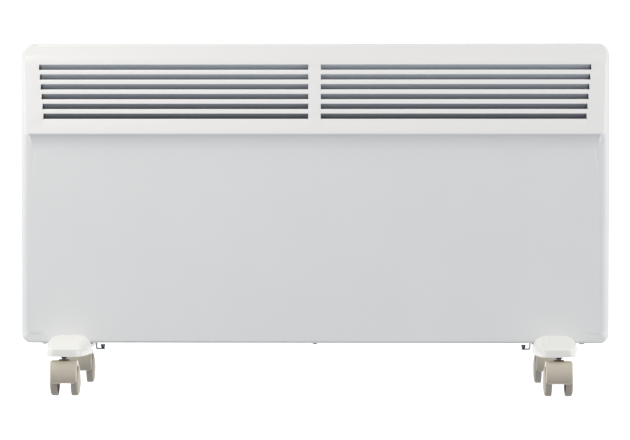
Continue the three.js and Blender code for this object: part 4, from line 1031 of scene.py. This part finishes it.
# %% The hood's side profile, in millimetres
trail = 14.0
axle_z = 20.0
axle_at = np.array([trail, axle_z])
wheel_radius = 20.0
hood_radius = 23.8


def bezier(a, b, c, steps):
    """Points on the quadratic curve from a to c that b pulls on."""
    t = np.linspace(0, 1, steps + 1)[:, None]
    return np.array(a) * (1 - t) ** 2 + 2 * np.array(b) * t * (1 - t) + np.array(c) * t**2


def hood_path():
    """Side profile of the hood in depth and height: front shield, shoulder, flat top and the
    arc over the wheels."""
    front = bezier((-11, hood_low), (-14, 34.5), (-11.6, 45), 28)
    shoulder = bezier((-11.6, 45), (-10.6, hood_top), (-6, hood_top), 8)
    top = np.array([[-2.0, hood_top], [3.0, hood_top], [8.8, hood_top]])
    back = arc(axle_at, hood_radius, 86, 20, 20)
    return np.concatenate([front, shoulder[1:], top, back])


print("hood profile", len(hood_path()), "points")

# %% [markdown]
# Where the loop meets the front shield and the top, the hood is solid down to the wheels. Over
# the wheels it is a thin shell. Both follow from one rule: from each point of the profile, the
# hood reaches inwards until it meets the circle that leaves room for the wheels.

# %% The hood's loop and its web
wheel_room = 21.3
hood_half = 18.5
hood_corner = 3.7
hood_edge = 1.1
inner_edge = 0.3
thinnest, thickest = 2.5, 16
web_half = 8.6
boss_radius = 3.6


def hood_grids():
    """The loop carried along the profile. Across, it is a rounded rectangle. Inwards, it reaches
    along the normal to the wheels' circle, so the front and top are solid. The lower edge and the
    two rounded side edges take the second finish, a lighter colour that paints their highlight."""
    path = hood_path()
    tangent = np.gradient(path, axis=0)
    tangent /= np.linalg.norm(tangent, axis=1)[:, None]
    normal = np.stack([-tangent[:, 1], tangent[:, 0]], -1)
    away = path - axle_at
    normal *= np.sign((normal * away).sum(-1))[:, None]
    along = (away * normal).sum(-1)
    inside = along**2 - (away**2).sum(-1) + wheel_room**2
    depth = np.clip(along - np.sqrt(np.maximum(inside, 0)), thinnest, thickest)
    run = np.concatenate([[0], np.cumsum(np.linalg.norm(np.diff(path, axis=0), axis=1))])
    near = np.clip(hood_corner - run, 0, hood_corner)
    half = hood_half - (hood_corner - np.sqrt(hood_corner**2 - near**2))
    edge = arc((0, 0), 1.0, 90, 0, 6)
    outer_x = half[:, None] - hood_edge * (1 - edge[:, 0])
    outer_d = np.broadcast_to(hood_edge * (1 - edge[:, 1]), outer_x.shape)
    x = np.concatenate([outer_x, np.stack([half, half - inner_edge], -1)], -1)
    d = np.concatenate([outer_d, np.stack([depth - inner_edge, depth], -1)], -1)
    x = np.concatenate([x, -x[:, ::-1], x[:, :1]], -1)
    d = np.concatenate([d, d[:, ::-1], d[:, :1]], -1)
    y = path[:, :1] - normal[:, :1] * d
    z = np.maximum(path[:, 1:] - normal[:, 1:] * d, hood_low)
    loop = np.stack([x, y, z], -1)
    caps = [np.stack([end, np.broadcast_to(end.mean(0), end.shape)]) for end in loop[[0, -1]]]
    n = len(edge)
    edges = [(loop[:2], 1), (loop[1:, :n], 1), (loop[1:, n + 4 : 2 * n + 4], 1)]
    return [*edges, loop[1:, n - 1 : n + 5], loop[1:, 2 * n + 3 :], *caps]


def web_grids():
    """The plate between the wheels: its profile fills the hood down to the axle, with a round
    boss for the axle."""
    inner = (hood_path()[2:] - axle_at) * 0.97 + axle_at
    lower = arc(axle_at, boss_radius, 20, -160, 14)
    outline = np.concatenate([inner, lower, [[-8.5, 19.1]], inner[:1]])
    sides = [np.column_stack([np.full(len(outline), x), outline]) for x in (-web_half, web_half)]
    centre = [np.array([x, 3.0, 38.0]) for x in (-web_half, web_half)]
    caps = [np.stack([s, np.broadcast_to(c, s.shape)]) for s, c in zip(sides, centre)]
    return [np.stack(sides), *caps]


hood_mesh = mesh_of("caster_hood", hood_grids() + web_grids(), sharp=40)
print("hood", len(hood_mesh.polygons), "faces")

# %% [markdown]
# ## Wheels, stems and axles
#
# Each wheel is a disc with a flat tread, rounded shoulders and a domed outer face, moulded
# hollow on the inside. Tread and dome are two grades of nylon, so the lathe profile is cut in
# two where the finish changes.

# %% Wheels
inner_face = 9.6
outer_face = 21.0
tread_end = outer_face - 2.5
tread_round = 1.2
bore_radius, bore_end = 2.3, 16.8
hub_radius, rim_radius, recess = 5.0, 16.5, 3.0
dome_radius, dome_sink, dome_power = 19.3, 0.2, 0.9


def wheel_grids():
    """Profile in two finishes: hollow inner side, shoulder and tread in grey, then the domed face.
    Each is turned round the axle."""
    hollow = inner_face + recess
    tread = [[0, bore_end], [bore_radius, bore_end], [bore_radius, inner_face]]
    tread += [[hub_radius, inner_face], [hub_radius + 1, hollow]]
    tread += [[rim_radius - 1, hollow], [rim_radius, inner_face]]
    tread += arc((wheel_radius - 1, inner_face + 1), 1.0, -90, 0, 5).tolist()
    corner = (wheel_radius - tread_round, tread_end - tread_round)
    tread += arc(corner, tread_round, 0, 40, 4).tolist()
    turn = np.linspace(0, 1, 12) * math.pi / 2
    dome_low = tread_end - dome_sink
    bulge = (outer_face - dome_low) * np.sin(turn) ** dome_power
    dome = np.stack([dome_radius * np.cos(turn), dome_low + bulge], -1)
    dome = np.concatenate([[tread[-1]], dome])
    return [(lathe(tread, 72, "x"), 0), (lathe(dome, 72, "x"), 1)]


wheel_b_mesh = mesh_of("wheel", wheel_grids(), sharp=35)
flipped = [(g * mirror, slot) for g, slot in wheel_grids()]
wheel_a_mesh = mesh_of("wheel_mirrored", flipped, sharp=35)
print("wheel", len(wheel_b_mesh.polygons), "faces")

# %% [markdown]
# The stem is a steel pin with a dark neck, a brown bush on the hood, and a bright cone under
# the foot. Its profile is cut in three for the three finishes. The axle is a plain turned pin
# with small chamfers.

# %% Stems and axles, as distance from the axis and place along it
neck = [[0, 38], [3.0, 38], [3.2, 38.3], [3.2, 50.2], [3.2, 53.2]]
collar = [[3.2, 50.3], [6.9, 50.3], [7.3, 50.7], [7.3, 51.3], [6.9, 51.8], [3.2, 51.8]]
flange = [[3.2, 53.2], [6.5, 56.1], [6.5, 56.7], [4.0, 56.7], [4.0, 69.6], [3.6, 70], [0, 70]]
turned = [(lathe(profile, 40), slot) for slot, profile in enumerate((neck, collar, flange))]
stem_mesh = mesh_of("caster_stem", turned, sharp=40)
stem_finishes = [dark_steel, brown_nylon, turned_steel]
axle_profile = [[0, -16.5], [1.8, -16.5], [2.0, -16.3], [2.0, 16.3], [1.8, 16.5], [0, 16.5]]
axle_mesh = mesh_of("axle", [lathe(axle_profile, 32, "x")], sharp=40)
print("stem", len(stem_mesh.polygons), "faces, axle", len(axle_mesh.polygons))

# %% [markdown]
# All four casters are alike, so each mesh is made once, and a copy is moved to each stem's
# place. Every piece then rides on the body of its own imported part: the hood swivels about the
# stem, and each wheel turns on the axle.

# %% Every caster in its place
for name in ("front_left", "front_right", "rear_left", "rear_right"):
    low, high = box_mm(name + "_stem")
    stem_place = [(low[0] + high[0]) / 2, (low[1] + high[1]) / 2, 0]
    axle_place = [stem_place[0], stem_place[1] + trail, axle_z]
    dress(moved(stem_mesh, stem_place), name + "_stem_turned", name + "_stem", stem_finishes)
    hood = moved(hood_mesh, stem_place)
    # The hood's first finish has painted shade towards the floor, its second a painted highlight on
    # the edges.
    dress(hood, name + "_hood_moulding", name + "_hood", [beige_nylon_painted_shade, edge_painted_highlight])
    dress(moved(axle_mesh, axle_place), name + "_axle_pin", name + "_axle", [turned_steel])
    for letter, mesh in (("a", wheel_a_mesh), ("b", wheel_b_mesh)):
        part = f"{name}_wheel_{letter}"
        dress(moved(mesh, axle_place), part + "_turned", part, [grey_tread, wheel_disc])
print("casters in place, the last at", [round(float(v), 1) for v in stem_place])

# %% [markdown]
# ## Screws
#
# The dark screws under the casing are pan heads with a cross recess. The head is a flattened
# dome on the lathe, and the recess two crossed blocks cut into it. The latches have short
# tapered screws with a stub below, which the lathe alone can make.

# %% Screws
recess_depth = 1.2


def screw_mesh(head, height, shank, length):
    """Pan head on a plain shank with a small point. The crown is a quarter ellipse over 0.4 of
    the head's radius and 0.55 of its height. The cross reaches 0.3 of the head each way, and
    its slits are 0.11 of the head wide."""
    bend = np.array([head / 2 * 0.4, height * 0.55])
    crown = arc((0, 0), 1.0, -90, 0, 8) * bend + [head / 2 - bend[0], bend[1] - height]
    rim = [[head / 2, -0.2], [head / 2 - 0.3, 0], [shank / 2, 0], [shank / 2, length - 1]]
    point = [[shank / 2 - 0.8, length], [0, length]]
    profile = np.concatenate([[[0, -height]], crown[1:], rim, point])
    reach, slit = head * 0.3, head * 0.055
    above, floor = -height - 1, recess_depth - height
    cross = [block_grid((-x, -y, above), (x, y, floor)) for x, y in ((reach, slit), (slit, reach))]
    return carve(mesh_of("screw", [lathe(profile, 32)], sharp=35), cross)


casing_screw = screw_mesh(8.2, 3.4, 3.9, 9)
cone = [[0, -1.8], [1.5, -1.8], [1.5, 0], [2.2, 0], [3.3, 3.2], [3.3, 5.2], [3.1, 5.4], [0, 5.4]]
latch_screw = mesh_of("latch_screw", [lathe(cone, 32)], sharp=35)
print("screws", len(casing_screw.polygons), "and", len(latch_screw.polygons), "faces")

# %% [markdown]
# Each screw sits in the middle of its packed box, and the underside of its head a set height
# above the box's floor. The two screws that pull the feet up to the casing are hidden in their
# holes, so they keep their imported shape.


# %% Every screw in its place
def seated(node, ending, mesh, seat):
    """A screw in the middle of its packed box, with its zero height at seat above the floor."""
    low, high = box_mm(node)
    place = [(low[0] + high[0]) / 2, (low[1] + high[1]) / 2, low[2] + seat]
    dress(moved(mesh, place), node + ending, node, [dark_steel])


for number in range(1, 6):
    seated(f"bottom_screw_{number}", "_head", casing_screw, 2.6)
for side in ("left", "right"):
    seated(side + "_latch_screw", "_turned", latch_screw, 3.5)
    trimmed(side + "_foot_screw", dark_steel, 0.3)

# %% [markdown]
# ## The studio
#
# The photograph is a catalogue picture on plain white, so the stage is a wide round bowl of pale
# paper: a floor that curves up into a wall all round, with no line between the two, and wide
# enough for a camera on any side. It glows a little by itself, as paper lit from behind does,
# so that only the softest shadow is left under the wheels.

# %% The pale floor
paper = new_finish("studio_paper", "#f6f6f6", 0.9)
shader = parts_of(paper)[1]
shader.inputs["Emission Color"].default_value = (1, 1, 1, 1)
shader.inputs["Emission Strength"].default_value = 0.9
bowl_radius, bowl_bend = 9000, 1500
bend = arc((bowl_radius - bowl_bend, bowl_bend), bowl_bend, -90, 0, 12)
bowl = np.concatenate([[[0, 0]], bend, [[bowl_radius, bowl_radius]]])
floor_mesh = mesh_of("studio_floor", [lathe(bowl, 96)], closed=False)
floor = bpy.data.objects.new("studio_floor", floor_mesh)
floor_mesh.materials.append(paper)
bpy.context.scene.collection.objects.link(floor)
floor.visible_diffuse = False
print("bowl", 2 * bowl_radius * MM, "m across")

# %% [markdown]
# The light is that of a white tent: an even, faintly blue glow from all sides, which the world
# gives, and two big softboxes at the sides, which make the rounded edges bright. Two smaller
# ones near the upper left and one above lift the louvre face, which leans back, and let
# everything fade a little towards the right.


# %% Softboxes and room light
def softbox(name, place, target, size, power, colour):
    """An area light, width by height in metres, that faces a point."""
    data = bpy.data.lights.new(name, "AREA")
    data.shape = "RECTANGLE"
    data.size, data.size_y = size
    data.energy = power
    data.color = linear(colour)[:3]
    lamp = bpy.data.objects.new(name, data)
    lamp.location = place
    aim = Vector(target) - Vector(place)
    lamp.rotation_euler = aim.to_track_quat("-Z", "Y").to_euler()
    lamp.visible_camera = False
    bpy.context.scene.collection.objects.link(lamp)


softboxes = (
    ("left", (-3.2, -0.8, 1.0), (0, 0, 0.25), (1.5, 2.0), 24, "#fffdff"),
    ("right", (3.2, -0.8, 1.0), (0, 0, 0.25), (1.5, 2.0), 45, "#fffcf7"),
    ("near left", (-0.9, -0.9, 1.3), (-0.2, 0, 0.4), (0.7, 0.7), 4.4, "#fff4e4"),
    ("beside left", (-1.3, -0.45, 1.1), (-0.2, 0, 0.35), (0.8, 0.6), 3.0, "#ffffff"),
    ("above", (-0.2, -0.5, 1.9), (0, 0, 0.25), (2.2, 0.5), 4.6, "#fff8f6"),
)
for box in softboxes:
    softbox(*box)
world = bpy.data.worlds.new("room")
world.use_nodes = True
glow = world.node_tree.nodes["Background"].inputs
glow["Color"].default_value = (0.925, 0.955, 1.0, 1)
glow["Strength"].default_value = 0.533
bpy.context.scene.world = world
bpy.context.scene.view_settings.view_transform = "Standard"
print("softboxes", len(softboxes), "glow", round(glow["Strength"].default_value, 3))

# %% [markdown]
# ## The end
#
# The finished heater has to fill the same box as the imported model.

# %% The end
import json
